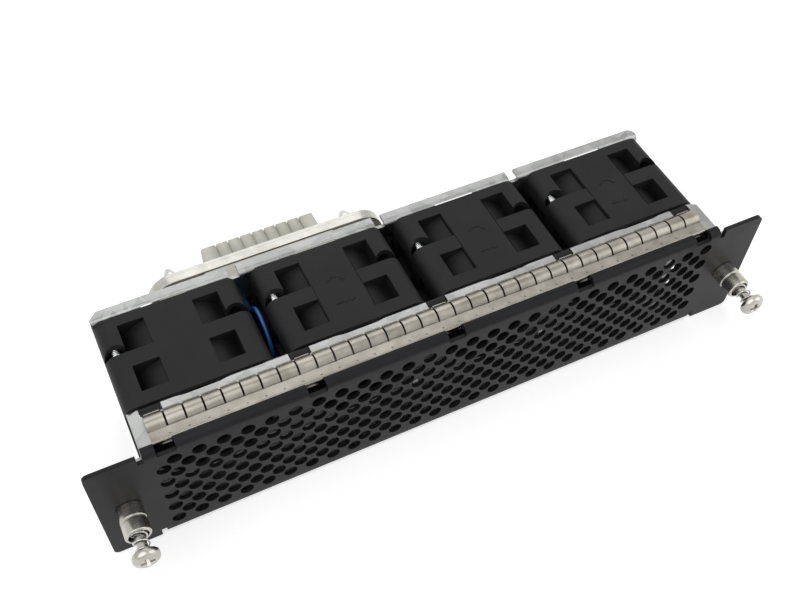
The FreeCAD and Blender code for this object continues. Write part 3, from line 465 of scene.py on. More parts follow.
def sheet(name, outline, holes, form, thickness, rows=()):
    """A sheet cut to an outline with holes, laid through space by form.

    form turns a place u, v on the flat sheet into a point of its outer face and the direction, of
    length one, in which its thickness goes. rows are places v where the mesh gets a line across.
    """
    points = anticlockwise(outline)
    loops = [list(range(len(outline)))]
    for hole in holes:
        loops.append(list(range(len(points), len(points) + len(hole))))
        points += anticlockwise(hole)
    low = min(p[0] for p in outline) - 1
    high = max(p[0] for p in outline) + 1
    edges = []
    for v in rows:
        edges.append((len(points), len(points) + 1))
        points += [Vector((low, v)), Vector((high, v))]
    flat, _, triangles, _, _, sources = delaunay_2d_cdt(points, edges, loops, 0, 1e-6)
    kept = [t for t, s in zip(triangles, sources) if 0 in s and not any(s)]
    used = sorted({i for t in kept for i in t})
    index = {old: new for new, old in enumerate(used)}
    outer, inner = [], []
    for i in used:
        place, inward = form(*flat[i])
        outer.append(at(*place))
        inner.append(at(*(a + thickness * b for a, b in zip(place, inward))))
    count = len(used)
    faces, border = [], {}
    for t in kept:
        corners = [index[i] for i in t]
        faces.append(corners)
        faces.append([i + count for i in reversed(corners)])
        for a, b in zip(corners, corners[1:] + corners[:1]):
            if (b, a) in border:
                del border[(b, a)]
            else:
                border[(a, b)] = True
    faces += [[b, a, a + count, b + count] for a, b in border]
    return new_piece(name, outer + inner, faces)


def prism(name, outline, place, axes, length, holes=()):
    """A straight block of an outline, from a place along the first of the axes."""
    place = Vector(place)
    direction, across, up = (Vector(axis) for axis in axes)
    return sheet(name, outline, holes, lambda u, v: (place + across * u + up * v, direction), length)


def loft(name, rings, closed=False, capped=True):
    """A skin over rings of as many points each, back to the first ring or capped at both ends.

    Without caps, a ring of equal points on the axis becomes one point.
    """
    size, count = len(rings[0]), len(rings)
    faces = []
    for k in range(count if closed else count - 1):
        first, following = k * size, (k + 1) % count * size
        for i in range(size):
            j = (i + 1) % size
            faces.append([first + i, first + j, following + j, following + i])
    if capped:
        faces.append(list(range(size)))
        faces.append([(count - 1) * size + i for i in reversed(range(size))])
    return new_piece(name, [point for points in rings for point in points], faces, merge=not capped)


def turned(name, profile, place, segments):
    """A turned solid: depths and radii along its axis, which begin and end on it or close up."""
    x, y, z = place
    rings = [[at(x + u, y + depth, z + v) for u, v in ring(0, 0, r, segments)] for depth, r in profile]
    return loft(name, rings, profile[0][1] > 0 and profile[-1][1] > 0, False)


def tube(name, path, radius, sides):
    """A round wire along a path of points, closed at both ends."""
    points = [Vector(p) for p in path]
    side = None
    rings = []
    for i, p in enumerate(points):
        ahead = (points[min(i + 1, len(points) - 1)] - points[max(i - 1, 0)]).normalized()
        if side is None:
            side = ahead.orthogonal().normalized()
        side = (side - ahead * side.dot(ahead)).normalized()
        lift = ahead.cross(side)
        rings.append([at(*(p + side * u + lift * v)) for u, v in ring(0, 0, radius, sides)])
    return loft(name, rings)


class Profile:
    """The outer line of a bent sheet in the Y-Z plane, walked by its length."""

    def __init__(self, points):
        self.points = [Vector(p) for p in points]
        self.lengths = [0.0]
        for a, b in zip(self.points, self.points[1:]):
            self.lengths.append(self.lengths[-1] + (b - a).length)
        self.end = self.lengths[-1]
        self.bends = self.lengths[1:-1]
        self.normals = []
        for before, after in zip([self.points[0], *self.points], [*self.points[1:], self.points[-1]]):
            ahead = (after - before).normalized()
            self.normals.append(Vector((ahead.y, -ahead.x)))

    def walk(self, v):
        """The point at that length, and the direction to its right."""
        v = min(max(v, 0.0), self.end)
        i = max(k for k, length in enumerate(self.lengths[:-1]) if length <= v + 1e-9)
        t = (v - self.lengths[i]) / (self.lengths[i + 1] - self.lengths[i])
        place = self.points[i].lerp(self.points[i + 1], t)
        return place, self.normals[i].lerp(self.normals[i + 1], t).normalized()

    def form(self, u, v):
        """The form of a sheet that is bent along the line."""
        place, inward = self.walk(v)
        return (u, place.x, place.y), (0, inward.x, inward.y)

    def at_point(self, y, z, steps=2000):
        """The length at which the line comes nearest to a point."""
        target = Vector((y, z))
        return min(
            ((self.walk(v)[0] - target).length, v) for v in (self.end * k / steps for k in range(steps + 1))
        )[1]


# Settings.
def size(name, description, default):
    """A size in millimetres."""
    return FloatProperty(name=name, description=description, default=default, min=0.0, precision=2)


def colour(name, description, default):
    return FloatVectorProperty(name=name, description=description, subtype="COLOR", default=default)


class PlateSettings(bpy.types.PropertyGroup):
    """Sizes of the faceplate, in millimetres."""

    sheet: size("Sheet", "Thickness of the plate", 1.2)
    bend: size("Bend", "Outer radius of the long bends", 1.8)
    flange: size("Flange", "Depth the long edges are bent back", 2.6)
    ear: size("Ear", "Width of each plain end", 14.0)
    ear_corner: size("Ear corner", "Radius of the plate's corners", 1.6)
    relief: size("Relief", "Width of the bend reliefs", 1.4)
    relief_depth: size("Relief depth", "Reach of the bend reliefs", 2.6)
    hole: size("Hole", "Diameter of a grille hole", 3.7)
    pitch_x: size("Column pitch", "Spacing of the holes in a row", 6.1)
    pitch_z: size("Row pitch", "Spacing of every second row", 6.3)
    columns: IntProperty(name="Columns", description="Holes in a row", default=26)
    row_pairs: IntProperty(name="Row pairs", description="Pairs of staggered rows", default=5)
    notch: size("Notch", "Width of the top edge's notches", 4.8)
    notch_depth: size("Notch depth", "Reach of the notches", 2.4)
    notch_pitch: size("Notch pitch", "Notch spacing", NOTCH_PITCH)
    seat: size("Sleeve seat", "Radius of the sleeves' holes", 2.85)
    screw_inset: size("Screw inset", "From the plate's end to a screw", 7.3)
    screw_height: size("Screw height", "Height of the screws", 19.8)


class GasketSettings(bpy.types.PropertyGroup):
    """Sizes of the finger gasket, in millimetres."""

    sheet: size("Sheet", "Thickness of the strip", 0.25)
    pitch: size("Pitch", "Spacing of the fingers", 4.75)
    fingers: IntProperty(name="Fingers", description="Number of fingers", default=33)
    slit: size("Slit", "Width between fingers", 0.5)
    lip: size("Lip", "Depth of the front lip", 1.6)
    flat: size("Flat", "Length of the flat behind the lip", 3.2)
    reach: size("Hump length", "Length of a finger's hump", 4.8)
    hump: size("Hump", "Height of a finger's hump", 1.5)
    dot: size("Dot", "Radius of the small holes", 0.32)


class MetalSettings(bpy.types.PropertyGroup):
    """Sizes of the galvanised sheets, in millimetres."""

    sheet: size("Sheet", "Thickness of the sheets", 1.0)
    bend: size("Bend", "Outer radius of the bends", 1.4)
    notch: size("Shelf notch", "Width of the shelf's notches", 5.6)
    recess: size("Recess", "Width of a recess's floor", 9.5)
    recess_flare: size("Flare", "How far a recess widens", 3.2)
    recess_depth: size("Recess depth", "Reach of a recess", 1.2)
    shelf_corner: size("Shelf corner", "Width of a cut corner", 3.8)
    guard: size("Guard", "Radius of a fan's opening", 18.0)
    tab_width: size("Tab", "Reach of a tab behind its ear", 10.5)
    tab_height: size("Tab height", "Height of a tab", 33.6)
    flange: size("Flange", "Reach of the rear flanges", 3.4)
    flange_corner: size("Flange corner", "Size of the end corners", 2.2)
    gap: size("Flange gap", "Width between flanges", 2.8)
    gap_shift: size("Gap shift", "Offset of the gaps to the left", 2.0)
    slot: size("Slot", "Width of a slot in the bend", 12.1)
    slot_depth: size("Slot depth", "Reach of a slot", 0.6)
    lead_hole: size("Lead hole", "Radius of the lead's hole", 1.8)
    lead_height: size("Lead height", "Height of the lead's hole", 26.5)


class FanSettings(bpy.types.PropertyGroup):
    """Sizes of one fan, in millimetres."""

    width: size("Width", "Side of the square frame", 38.0)
    depth: size("Depth", "Depth of the frame", 28.0)
    pitch: size("Pitch", "Spacing of the fans", 42.0)
    setback: size("Setback", "From the plate's front to the fans", 13.8)
    height: size("Axis height", "Height of the fans' axes", 20.0)
    edge: size("Edge", "Radius of the long edges", 3.2)
    duct: size("Duct", "Radius of the duct", 17.8)
    wall: size("Wall", "Thickness of the duct's wall", 1.1)
    bolts: size("Bolts", "Spacing of the bolt holes", 31.5)
    pocket_in: size("Pocket start", "Inner side of a pocket", 6.4)
    pocket_out: size("Pocket end", "Outer side of a pocket", 13.2)
    front_bar: size("Front bar", "Bar before the front pocket", 3.8)
    front_pocket: size("Front pocket", "Front pocket's length", 7.9)
    middle_bar: size("Middle bar", "Bar between the pockets", 4.6)
    rear_bar: size("Rear bar", "Bar behind the pockets", 3.1)
    notch: size("Corner notch", "Radius of the half-moons", 3.2)
    notch_depth: size("Notch depth", "Depth of the half-moons", 5.6)
    tip: size("Tip", "Radius of the blades' tips", 17.2)
    blades: IntProperty(name="Blades", description="Number of blades", default=7)


class ColourSettings(bpy.types.PropertyGroup):
    """Darker and lighter tones of the painted and moulded pieces."""

    plate_dark: colour("Plate, dark", "Darker tone of the powder coat", (0.007, 0.007, 0.008))
    plate_light: colour("Plate, light", "Lighter tone of the powder coat", (0.016, 0.016, 0.018))
    fan_dark: colour("Fan, dark", "Darker tone of the fan housings", (0.007, 0.007, 0.008))
    fan_light: colour("Fan, light", "Lighter tone of the fan housings", (0.016, 0.016, 0.017))
    rotor_dark: colour("Rotor, dark", "Darker tone of the rotors", (0.014, 0.014, 0.015))
    rotor_light: colour("Rotor, light", "Lighter tone of the rotors", (0.026, 0.026, 0.028))
    connector_dark: colour("Connector, dark", "Darker tone of the connector", (0.56, 0.54, 0.46))
    connector_light: colour("Connector, light", "Lighter tone of the connector", (0.67, 0.65, 0.57))
    lead_dark: colour("Lead, dark", "Darker tone of the lead", (0.012, 0.07, 0.30))
    lead_light: colour("Lead, light", "Lighter tone of the lead", (0.03, 0.14, 0.46))


def fan_x(s, index):
    return (index - (FAN_COUNT - 1) / 2) * s.pitch


def wall_holes(s, m, x, line, wall, radius):
    """A fan's opening and its two bolt holes, in a bent sheet's wall at that depth."""
    holes = [ring(x, line.at_point(wall, s.height), m.guard, 96)]
    for across, up in BOLT_CORNERS:
        place = line.at_point(wall, s.height + up * s.bolts / 2)
        holes.append(ring(x + across * s.bolts / 2, place, radius, 20))
    return holes


# Pieces.
class TRAY_OT_faceplate(bpy.types.Operator):
    """Punched and bent front plate"""

    bl_idname = "tray.faceplate"
    bl_label = "Faceplate"

    def execute(self, context):
        s = context.scene.tray_plate
        inner = PLATE_HALF - s.ear
        lower = arc(s.bend, s.bend, s.bend, 270, 180, 8)
        upper = arc(s.bend, PLATE_TOP - s.bend, s.bend, 180, 90, 8)
        line = Profile([(s.flange, 0), *lower, *upper, (s.flange, PLATE_TOP)])
        lift = line.at_point(0, s.bend) - s.bend
        straight = (s.bend, PLATE_TOP - s.bend)
        bends = [v for p, v in zip(line.points, line.lengths) if not straight[0] < p.y < straight[1]]

        def form(u, v):
            if abs(u) > inner + s.relief / 2:
                return (u, 0, v - lift), (0, 1, 0)
            return line.form(u, v)

        holes = []
        width = s.pitch_x * (s.columns - 0.5)
        height = s.pitch_z * (s.row_pairs - 0.5)
        for row in range(2 * s.row_pairs):
            v = (PLATE_TOP - height) / 2 + row * s.pitch_z / 2
            for column in range(s.columns):
                u = -width / 2 + (column + (row % 2) / 2) * s.pitch_x
                holes.append(ring(u, v + lift, s.hole / 2, 28))
        for _, side in SIDES:
            holes.append(ring(side * (PLATE_HALF - s.screw_inset), s.screw_height + lift, s.seat, 40))
        outline = self.outline(s, inner, lift, line.end)
        piece = sheet("faceplate_sheet", outline, holes, form, s.sheet, bends[1:-1])
        bevel(piece, 0.13, 2)
        dress(piece, "plate", "tray", "faceplate")
        return {"FINISHED"}

    def outline(self, s, inner, lift, end):
        """The flat plate's outline, from the left ear's lower corner round to the right."""
        r, corner = s.ear_corner, 0.5
        outer = inner + s.relief
        low, high = lift, lift + PLATE_TOP
        bottom = [(inner, 0), (inner, low + s.relief_depth), (outer, low + s.relief_depth), (outer, low)]
        bottom += arc(PLATE_HALF - r, low + r, r, 270, 360, 6)
        top = arc(PLATE_HALF - r, high - r, r, 0, 90, 6)
        top += [(outer, high), (outer, high - s.relief_depth), (inner, high - s.relief_depth), (inner, end)]
        notches = []
        floor = high - s.notch_depth + corner
        for k in range(2, -3, -1):
            right, left = k * s.notch_pitch + s.notch / 2, k * s.notch_pitch - s.notch / 2
            notches += [(right, end), (right, floor)]
            notches += arc(right - corner, floor, corner, 0, -90, 3)[1:]
            notches += arc(left + corner, floor, corner, 270, 180, 3)
            notches.append((left, end))
        return [*mirrored(bottom), *bottom, *top, *notches, *mirrored(top)]


class TRAY_OT_gasket(bpy.types.Operator):
    """Finger strip along the shelf"""

    bl_idname = "tray.gasket"
    bl_label = "Finger gasket"

    def execute(self, context):
        s = context.scene.tray_gasket
        front = extent("emi_gasket").front
        shelf = extent("front_frame").high
        skin, foot = shelf + s.sheet, front + s.flat
        nose, bend, tail, dot_inset = 0.45, 0.6, 0.25, 1.0
        points = [(front, shelf - s.lip), *arc(front + nose, skin - nose, nose, 180, 90, 6)]
        points += [(foot - bend, skin), *self.hump(s, foot, skin), (foot + s.reach + tail, skin)]
        line = Profile(points)
        outline, edges = self.outline(s, line.at_point(foot - s.slit / 2, skin) + s.slit / 2, line.end)
        dots = [ring(u, line.at_point(front + dot_inset, skin), s.dot, 10) for u in edges]
        piece = sheet("gasket_strip", outline, dots, line.form, s.sheet, line.bends)
        dress(piece, "nickel", "tray", "emi_gasket")
        bevel(piece, 0.05, 1, 50)
        # A dark strip under the fingers paints the shade seen through their slits.
        self.tape(s, foot, shelf)
        return {"FINISHED"}

    def hump(self, s, foot, skin, steps=24):
        """A finger's rise and fall, a little steeper at its front."""
        points = []
        for k in range(steps + 1):
            t = k / steps
            rise = math.sin(math.pi * t**0.86) ** 0.85 if 0 < t < 1 else 0.0
            points.append((foot + t * s.reach, skin + s.hump * rise))
        return points

    def outline(self, s, root, end):
        """The flat strip's outline with its slits, and the places of the slits."""
        half = s.pitch * s.fingers / 2
        edges = [-half + s.pitch * k for k in range(1, s.fingers)]
        # The lip has narrow slits at both sides of each notch in the plate.
        notch, cut, corner, nick = 2.4, 0.2, 0.5, 0.35
        outline = [(-half, 0)]
        for k in range(-2, 3):
            for u in (k * NOTCH_PITCH - notch, k * NOTCH_PITCH + notch):
                outline += [(u - cut, 0), (u - cut, s.lip), (u + cut, s.lip), (u + cut, 0)]
        outline = [p for p in outline if abs(p[0]) <= half]
        outline += [(half, 0), (half, end - corner), (half - corner, end)]
        for u in reversed(edges):
            right, left = u + s.slit / 2, u - s.slit / 2
            outline += [(right + nick, end), (right, end - nick), (right, root)]
            outline += arc(u, root, s.slit / 2, 0, -180, 4)[1:-1]
            outline += [(left, root), (left, end - nick), (left - nick, end)]
        outline += [(-half + corner, end), (-half, end - corner)]
        return outline, edges

    def tape(self, s, foot, shelf):
        """A dark strip under the fingers: painted shade, which shows as dark lines through their slits."""
        half, gap, thickness = s.pitch * s.fingers / 2 - 0.4, 0.02, 0.12
        corners = oblong(-half, half, foot + 0.2, foot + s.reach - 0.3)
        # A thin dark sheet under the humps, painted shade for the slits between the fingers.
        tape = prism("gasket_tape", corners, (0, 0, shelf + gap), UPWARD, thickness)
        dress(tape, "rotor", "tray", None)


class TRAY_OT_front_frame(bpy.types.Operator):
    """Shelf, fan wall, foot, ends and tabs"""

    bl_idname = "tray.front_frame"
    bl_label = "Front frame"

    def execute(self, context):
        m, s, g = context.scene.tray_metal, context.scene.tray_fan, context.scene.tray_plate
        half = PLATE_HALF - g.ear
        top, rear = extent("tray_pan").high, s.setback
        # The channel's section: the shelf's front edge, round the wall, to the foot's.
        shelf, base = 2.95, 1.0
        line = Profile(
            [
                (shelf, top),
                *arc(rear - m.bend, top - m.bend, m.bend, 90, 0, 8),
                *arc(rear - m.bend, base + m.bend, m.bend, 0, -90, 8),
                (shelf + 1, base),
            ]
        )
        rows = [v for p, v in zip(line.points, line.lengths) if p.x > shelf + 1.5][:-1]
        outline, holes = self.flat(m, s, line, half, top)
        channel = sheet("front_frame_channel", outline, holes, line.form, m.sheet, rows)
        parts = [bake(bevel(channel, 0.1))]
        low = (top + 0.6 - m.tab_height) / 2
        # The ends stop short of the fan wall, where the bolts' heads are.
        head_room = 2.2
        for _, sign in SIDES:
            sides = sorted((sign * (half - m.sheet), sign * (half + m.tab_width)))
            outline = rounded(*sides, low, low + m.tab_height, 1.2, 6)
            seat = ring(sign * (PLATE_HALF - g.screw_inset), g.screw_height, g.seat, 40)
            tab = prism("tab", outline, (0, g.sheet, 0), BACKWARD, m.sheet, [seat])
            outline = oblong(*sorted((sign * (half - m.sheet), sign * half)), 2, top - 1)
            end = prism("end", outline, (0, g.sheet, 0), BACKWARD, rear - m.sheet - head_room - g.sheet)
            parts += [bake(bevel(tab, 0.1)), bake(bevel(end, 0.1))]
        dress(join(parts, "front_frame_sheet"), "zinc", "tray", "front_frame")
        self.tongues(m, rear, top)
        return {"FINISHED"}

    def flat(self, m, s, line, half, top):
        """The flat channel's outline, and its notches, recesses, openings and bolt holes."""
        rear = s.setback
        under = line.at_point(rear, top - m.bend)
        deep = line.at_point(rear - SHELF_NOTCH_DEPTH, top)
        cut = m.shelf_corner / 2
        slope = line.at_point(rear - cut, top)
        side = 2 * NOTCH_PITCH + m.notch / 2
        met = slope + (half - side) / m.shelf_corner * cut
        right = [(half, 0), (half, slope), (side, met), (side, deep), (side - m.notch, deep)]
        right += [(side - m.notch, under), (half, under), (half, line.end)]
        holes = []
        for k in (-1, 0, 1):
            u = k * NOTCH_PITCH
            holes.append(rounded(u - m.notch / 2, u + m.notch / 2, deep, under, 0.4, 3))
        floor = line.at_point(rear - m.recess_depth, top)
        lip = line.at_point(rear - m.recess_depth / 4, top)
        near, far = m.recess / 2, m.recess / 2 + m.recess_flare
        for x in (fan_x(s, index) for index in range(FAN_COUNT)):
            recess = [(x + far, lip), (x + far, under), (x - far, under), (x - far, lip)]
            holes += [[*recess, (x - near, floor), (x + near, floor)]]
            holes += wall_holes(s, m, x, line, rear, BOLT_HOLE)
        return [*right, *mirrored(right)], holes

    def tongues(self, m, rear, top):
        """Dark rounded tongues that fill the shelf's notches beside the fans."""
        parts = []
        outline = [(0.5, 0), *arc(1.2, 0.1, 1.0, 180, 90, 6), *arc(2.0, 0.3, 0.8, 90, 0, 6), (2.8, 0)]
        clearance = 0.25
        for k in range(-2, 3):
            left = k * NOTCH_PITCH - m.notch / 2 + clearance
            place = (left, rear - SHELF_NOTCH_DEPTH, top - m.bend + 0.02)
            tongue = prism("tongue", outline, place, SIDEWAYS, m.notch - 2 * clearance)
            parts.append(bake(bevel(tongue, 0.15)))
        dress(join(parts, "shelf_tongues"), "plate", "tray", None)


class TRAY_OT_pan(bpy.types.Operator):
    """Pan, rear wall and rear flanges"""

    bl_idname = "tray.pan"
    bl_label = "Pan"

    def execute(self, context):
        m, s = context.scene.tray_metal, context.scene.tray_fan
        pan = extent("tray_pan")
        half, top = pan.right, pan.high
        wall = s.setback + s.depth
        inner, tip = m.bend - m.sheet, wall + m.flange
        line = Profile(
            [
                (pan.front, m.sheet),
                *arc(wall - inner, m.sheet + inner, inner, -90, 0, 6),
                *arc(wall + m.bend, top - m.bend, m.bend, 180, 90, 8),
                (tip, top),
            ]
        )
        under, end = line.at_point(wall, top - m.bend), line.end
        gaps = [fan_x(s, index) + s.pitch / 2 - m.gap_shift for index in reversed(range(FAN_COUNT - 1))]
        r = m.flange_corner
        outline = [(-half, 0), (half, 0), *arc(half - r, end - r, r, 0, 90, 8)]
        for u in gaps:
            right, left = u + m.gap / 2, u - m.gap / 2
            outline += [(right, end), (right, under), (left, under), (left, end)]
        outline += [(-half + r, end), (-half, end - r)]
        brow = line.at_point(wall + m.slot_depth, top - 0.25)
        holes = []
        for x in (fan_x(s, index) for index in range(FAN_COUNT)):
            holes.append(rounded(x - m.slot / 2, x + m.slot / 2, under, brow, 0.3, 3))
            holes += wall_holes(s, m, x, line, wall, PAN_BOLT_HOLE)
        lead = line.at_point(wall, m.lead_height)
        holes.append(ring(fan_x(s, 0) + s.pitch / 2, lead, m.lead_hole, 28))
        parts = [bake(bevel(sheet("pan", outline, holes, line.form, m.sheet, line.bends), 0.1))]
        # Small square witness marks beside the gaps, a little proud of the flanges.
        size, inset, sunk, proud = 1.1, 1.9, 0.05, 0.06
        for u in gaps:
            for side in (1, -1):
                x = u + side * (m.gap / 2 + inset)
                outline = rounded(x - size / 2, x + size / 2, tip - 2 * size, tip - size, 0.2, 2)
                mark = prism("mark", outline, (0, 0, top - sunk), UPWARD, sunk + proud)
                parts.append(bake(bevel(mark, 0.05, 1)))
        dress(join(parts, "tray_pan_sheet"), "zinc", "tray", "tray_pan")
        return {"FINISHED"}


class TRAY_OT_housings(bpy.types.Operator):
    """Moulded fan housings"""

    bl_idname = "tray.housings"
    bl_label = "Fan housings"

    # Depths and radii of the motor's base and the tube round its bearing.
    MOTOR_BASE = [
        (3.2, 0), (3.2, 9.2), (2.6, 9.8), (0, 9.8),
        (0, 3.4), (-14, 3.4), (-14, 2.6), (1.4, 2.6), (1.4, 0),
    ]

    def execute(self, context):
        s = context.scene.tray_fan
        for index in range(FAN_COUNT):
            body = bake(bevel(self.frame(s, index), 0.3, 3))
            piece = join([body, *self.mount(s, index)])
            dress(piece, "fan", "tray", f"fan_housing_{index + 1}")
            if index:
                dress(self.arrows(s, index), "fan", "tray", None)
        return {"FINISHED"}

    def frame(self, s, index):
        """The square frame with its pockets, notches and bolt holes."""
        half, bolt = s.width / 2, s.bolts / 2
        x, front, axis = fan_x(s, index), s.setback, s.height
        outline = rounded(-half, half, -half, half, s.edge, 8)
        holes = [ring(0, 0, s.duct, 96)]
        holes += [ring(a * bolt, b * bolt, BOLT_HOLE, 20) for a in (-1, 1) for b in (-1, 1)]
        piece = prism(f"fan_frame_{index + 1}", outline, (x, front, axis), BACKWARD, s.depth, holes)
        middle = s.front_bar + s.front_pocket + s.middle_bar
        rear = s.depth - s.rear_bar
        carve(piece, self.pockets(s, x, ((s.front_bar, s.front_bar + s.front_pocket), (middle, rear))))
        notches = []
        for side in (-1, 1):
            moon = arc(side * bolt, middle, s.notch, 0, 180, 16)
            for base in (half - s.notch_depth, -half - 1):
                place = (x, front, axis + base)
                notches.append(prism("cutter", moon, place, UPWARD, s.notch_depth + 1))
        carve(piece, notches)
        if index:
            # Fine parting lines on top, which the first fan lacks.
            lines, line_x, line_half, line_depth = [], 6.25, 0.13, 0.2
            for u in (-line_x, line_x):
                outline = oblong(u - line_half, u + line_half, half - line_depth, half + 1)
                place = (x, front + s.front_bar, axis)
                lines.append(prism("cutter", outline, place, BACKWARD, rear - s.front_bar))
            carve(piece, lines)
        return piece

    def pockets(self, s, x, stretches):
        """Cutters for two pockets on each half of every side, whose floors follow the duct's wall."""
        floor, half, steps = s.duct + s.wall, s.width / 2, 8
        cutters = []
        for turn in range(4):
            c, n = round(math.cos(turn * math.pi / 2)), round(math.sin(turn * math.pi / 2))
            axes = ((0, 1, 0), (c, 0, n), (-n, 0, c))
            for side in (-1, 1):
                across = [s.pocket_in + (s.pocket_out - s.pocket_in) * k / steps for k in range(steps + 1)]
                points = [(side * u, math.sqrt(floor * floor - u * u)) for u in across]
                points += [(side * s.pocket_out, half + 1), (side * s.pocket_in, half + 1)]
                for start, stop in stretches:
                    place = (x, s.setback + start, s.height)
                    cutters.append(prism("cutter", points, place, axes, stop - start))
        return cutters

    def mount(self, s, index):
        """The motor's base, the tube round its bearing and the struts that carry it."""
        place = (fan_x(s, index), s.setback + s.depth - self.MOTOR_BASE[0][0], s.height)
        parts = [turned("disc", self.MOTOR_BASE, place, 64)]
        struts, half, inner, outer, depth = 5, 1.0, 8.4, 18.2, 3.1
        for k in range(struts):
            a = math.pi / 2 + math.tau * k / struts
            axes = ((0, 1, 0), (math.sin(a), 0, -math.cos(a)), (math.cos(a), 0, math.sin(a)))
            strut = prism("strut", oblong(-half, half, inner, outer), place, axes, depth)
            parts.append(bake(bevel(strut, 0.3)))
        return parts

    def arrows(self, s, index):
        """Raised arrows on the middle panel: one for the airflow, one for the way it turns."""
        x, y, top = fan_x(s, index), s.setback + 8.2, s.height + s.width / 2
        shaft, barb, back, neck, tip = 0.22, 0.8, -2.6, 1.3, 2.7
        straight = [(back, -shaft), (neck, -shaft), (neck, -barb), (tip, 0), (neck, barb), (neck, shaft)]
        straight.append((back, shaft))
        curved = arc(0, 0, 2.6, 35, 145, 12) + arc(0, 0, 2.2, 145, 35, 12)
        curved += [polar(1.7, 35), polar(2.4, 5), polar(3.1, 35)]
        parts = []
        for points, forward in ((straight, 0.0), (curved, 6.2)):
            parts.append(prism("mark", points, (x, y + forward, top - 0.05), UPWARD, 0.17))
        return join(parts, f"fan_arrows_{index + 1}")


class TRAY_OT_rotors(bpy.types.Operator):
    """Rotors with their blades"""

    bl_idname = "tray.rotors"
    bl_label = "Rotors"

    # Depths and radii of the hub: its dished face with a ridge, its skirt, hollow and shaft.
    HUB = [
        (2.4, 0), (2.4, 4.0), (2.55, 4.2), (2.4, 4.4), (2.4, 8.6), (2.7, 9.35), (3.4, 9.8),
        (24.0, 9.8), (24.0, 8.6), (4.2, 8.6), (4.2, 1.0), (24.0, 1.0), (24.0, 0),
    ]

    def execute(self, context):
        s = context.scene.tray_fan
        for index in range(FAN_COUNT):
            place = (fan_x(s, index), s.setback, s.height)
            hub = bake(bevel(turned("hub", self.HUB, place, 72), 0.12))
            parts = [hub, *(self.blade(s, place, k) for k in range(s.blades))]
            piece = join(parts, f"rotor_{index + 1}_moulding")
            dress(piece, "rotor", f"rotor_{index + 1}", f"fan_rotor_{index + 1}")
        return {"FINISHED"}

    def blade(self, s, place, number):
        """One swept, cambered blade, thin at its edges, in sections from root to tip."""
        x, y, z = place
        stations, steps = 7, 12
        root, start, chord, camber = 9.3, 4.6, 17.0, 4.8
        middle = math.tau * number / s.blades + math.pi / 2
        rings = []
        for j in range(stations):
            t = j / (stations - 1)
            radius = root + (s.tip - root) * t
            sweep, thick = 3.4 + 2.2 * t, 1.3 - 0.4 * t
            section = []
            for side, order in ((1, range(steps + 1)), (-1, range(steps - 1, 0, -1))):
                for c in (i / steps for i in order):
                    bow = -sweep + 2 * sweep * c + camber * c * (1 - c)
                    fat = thick * (0.24 + 0.76 * math.sin(math.pi * c) ** 0.6) / 2
                    a = middle - (bow + side * fat) / radius
                    depth = start + chord * c
                    section.append(at(x + radius * math.cos(a), y + depth, z + radius * math.sin(a)))
            rings.append(section)
        return loft("blade", rings)


class TRAY_OT_motors(bpy.types.Operator):
    """Bearings, cores and windings"""

    bl_idname = "tray.motors"
    bl_label = "Motors"

    def execute(self, context):
        s = context.scene.tray_fan
        for index in range(FAN_COUNT):
            dress_node(f"fan_bearing_{index + 1}", "brass", 0.1)
            dress_node(f"fan_stator_{index + 1}", "core", 0.1)
            core = extent(f"fan_stator_{index + 1}")
            place = (fan_x(s, index), (core.front + core.rear) / 2, s.height)
            coils = [self.coil(place, pole * math.pi / 2) for pole in range(4)]
            dress(join(coils, f"motor_windings_{index + 1}"), "copper", "tray", None)
        return {"FINISHED"}

    def coil(self, place, a):
        """A winding with nearly square turns, from a pole's root outwards."""
        x, y, z = place
        turns, steps, start, rise = 5, 16, 3.9, 2.2
        wide, deep, square = 2.72, 3.68, 1.28
        path = []
        for i in range(turns * steps + 1):
            b = math.tau * i / steps
            out = start + rise * i / (turns * steps)
            bulge = min(1 / max(abs(math.cos(b)), abs(math.sin(b))), square)
            across = wide * math.cos(b) * bulge
            depth = deep * math.sin(b) * bulge
            right, up = out * math.cos(a) - across * math.sin(a), out * math.sin(a) + across * math.cos(a)
            path.append((x + right, y + depth, z + up))
        return tube("coil", path, 0.16, 6)


def cross_recess(place, radius, depth):
    """The two tapered bars of a screw's cross recess, open towards the front."""
    x, y, z = place
    half, taper, mouth = 0.29 * radius, 0.45, 0.4
    bars = []
    for points in (oblong(-radius, radius, -half, half), oblong(-half, half, -radius, radius)):
        outer = [at(x + u, y - mouth, z + v) for u, v in points]
        bars.append(loft("recess", [outer, [at(x + taper * u, y + depth, z + taper * v) for u, v in points]]))
    return bars


class TRAY_OT_bolts(bpy.types.Operator):
    """Through bolts of the fans"""

    bl_idname = "tray.bolts"
    bl_label = "Fan bolts"

    def execute(self, context):
        s = context.scene.tray_fan
        bolts = extent("fan_bolts")
        profile = self.profile(bolts.rear - bolts.front)
        parts = []
        for index in range(FAN_COUNT):
            for side, up in BOLT_CORNERS:
                place = (fan_x(s, index) + side * s.bolts / 2, bolts.front, s.height + up * s.bolts / 2)
                bolt = turned("bolt", profile, place, 24)
                for cutter in cross_recess(place, 1.2, 1.0):
                    carve(bolt, [cutter])
                parts.append(bolt)
        dress(join(parts, "fan_bolt_set"), "bright", "tray", "fan_bolts")
        return {"FINISHED"}

    def profile(self, length):
        """Depths and radii of a bolt: its domed head, its thread's ridges and its chamfered tip."""
        profile = [(0, 0), (0, 1.3), (0.35, 1.85), (0.9, 2.08), (1.8, 2.08), (1.8, 1.25)]
        root, crest, pitch, depth = 1.22, 1.45, 0.5, 2.2
        while depth < length - 1.0:
            profile += [(depth, root), (depth + 0.2, crest), (depth + 0.4, root)]
            depth += pitch
        return [*profile, (length - 0.5, 1.2), (length, 0.8), (length, 0)]


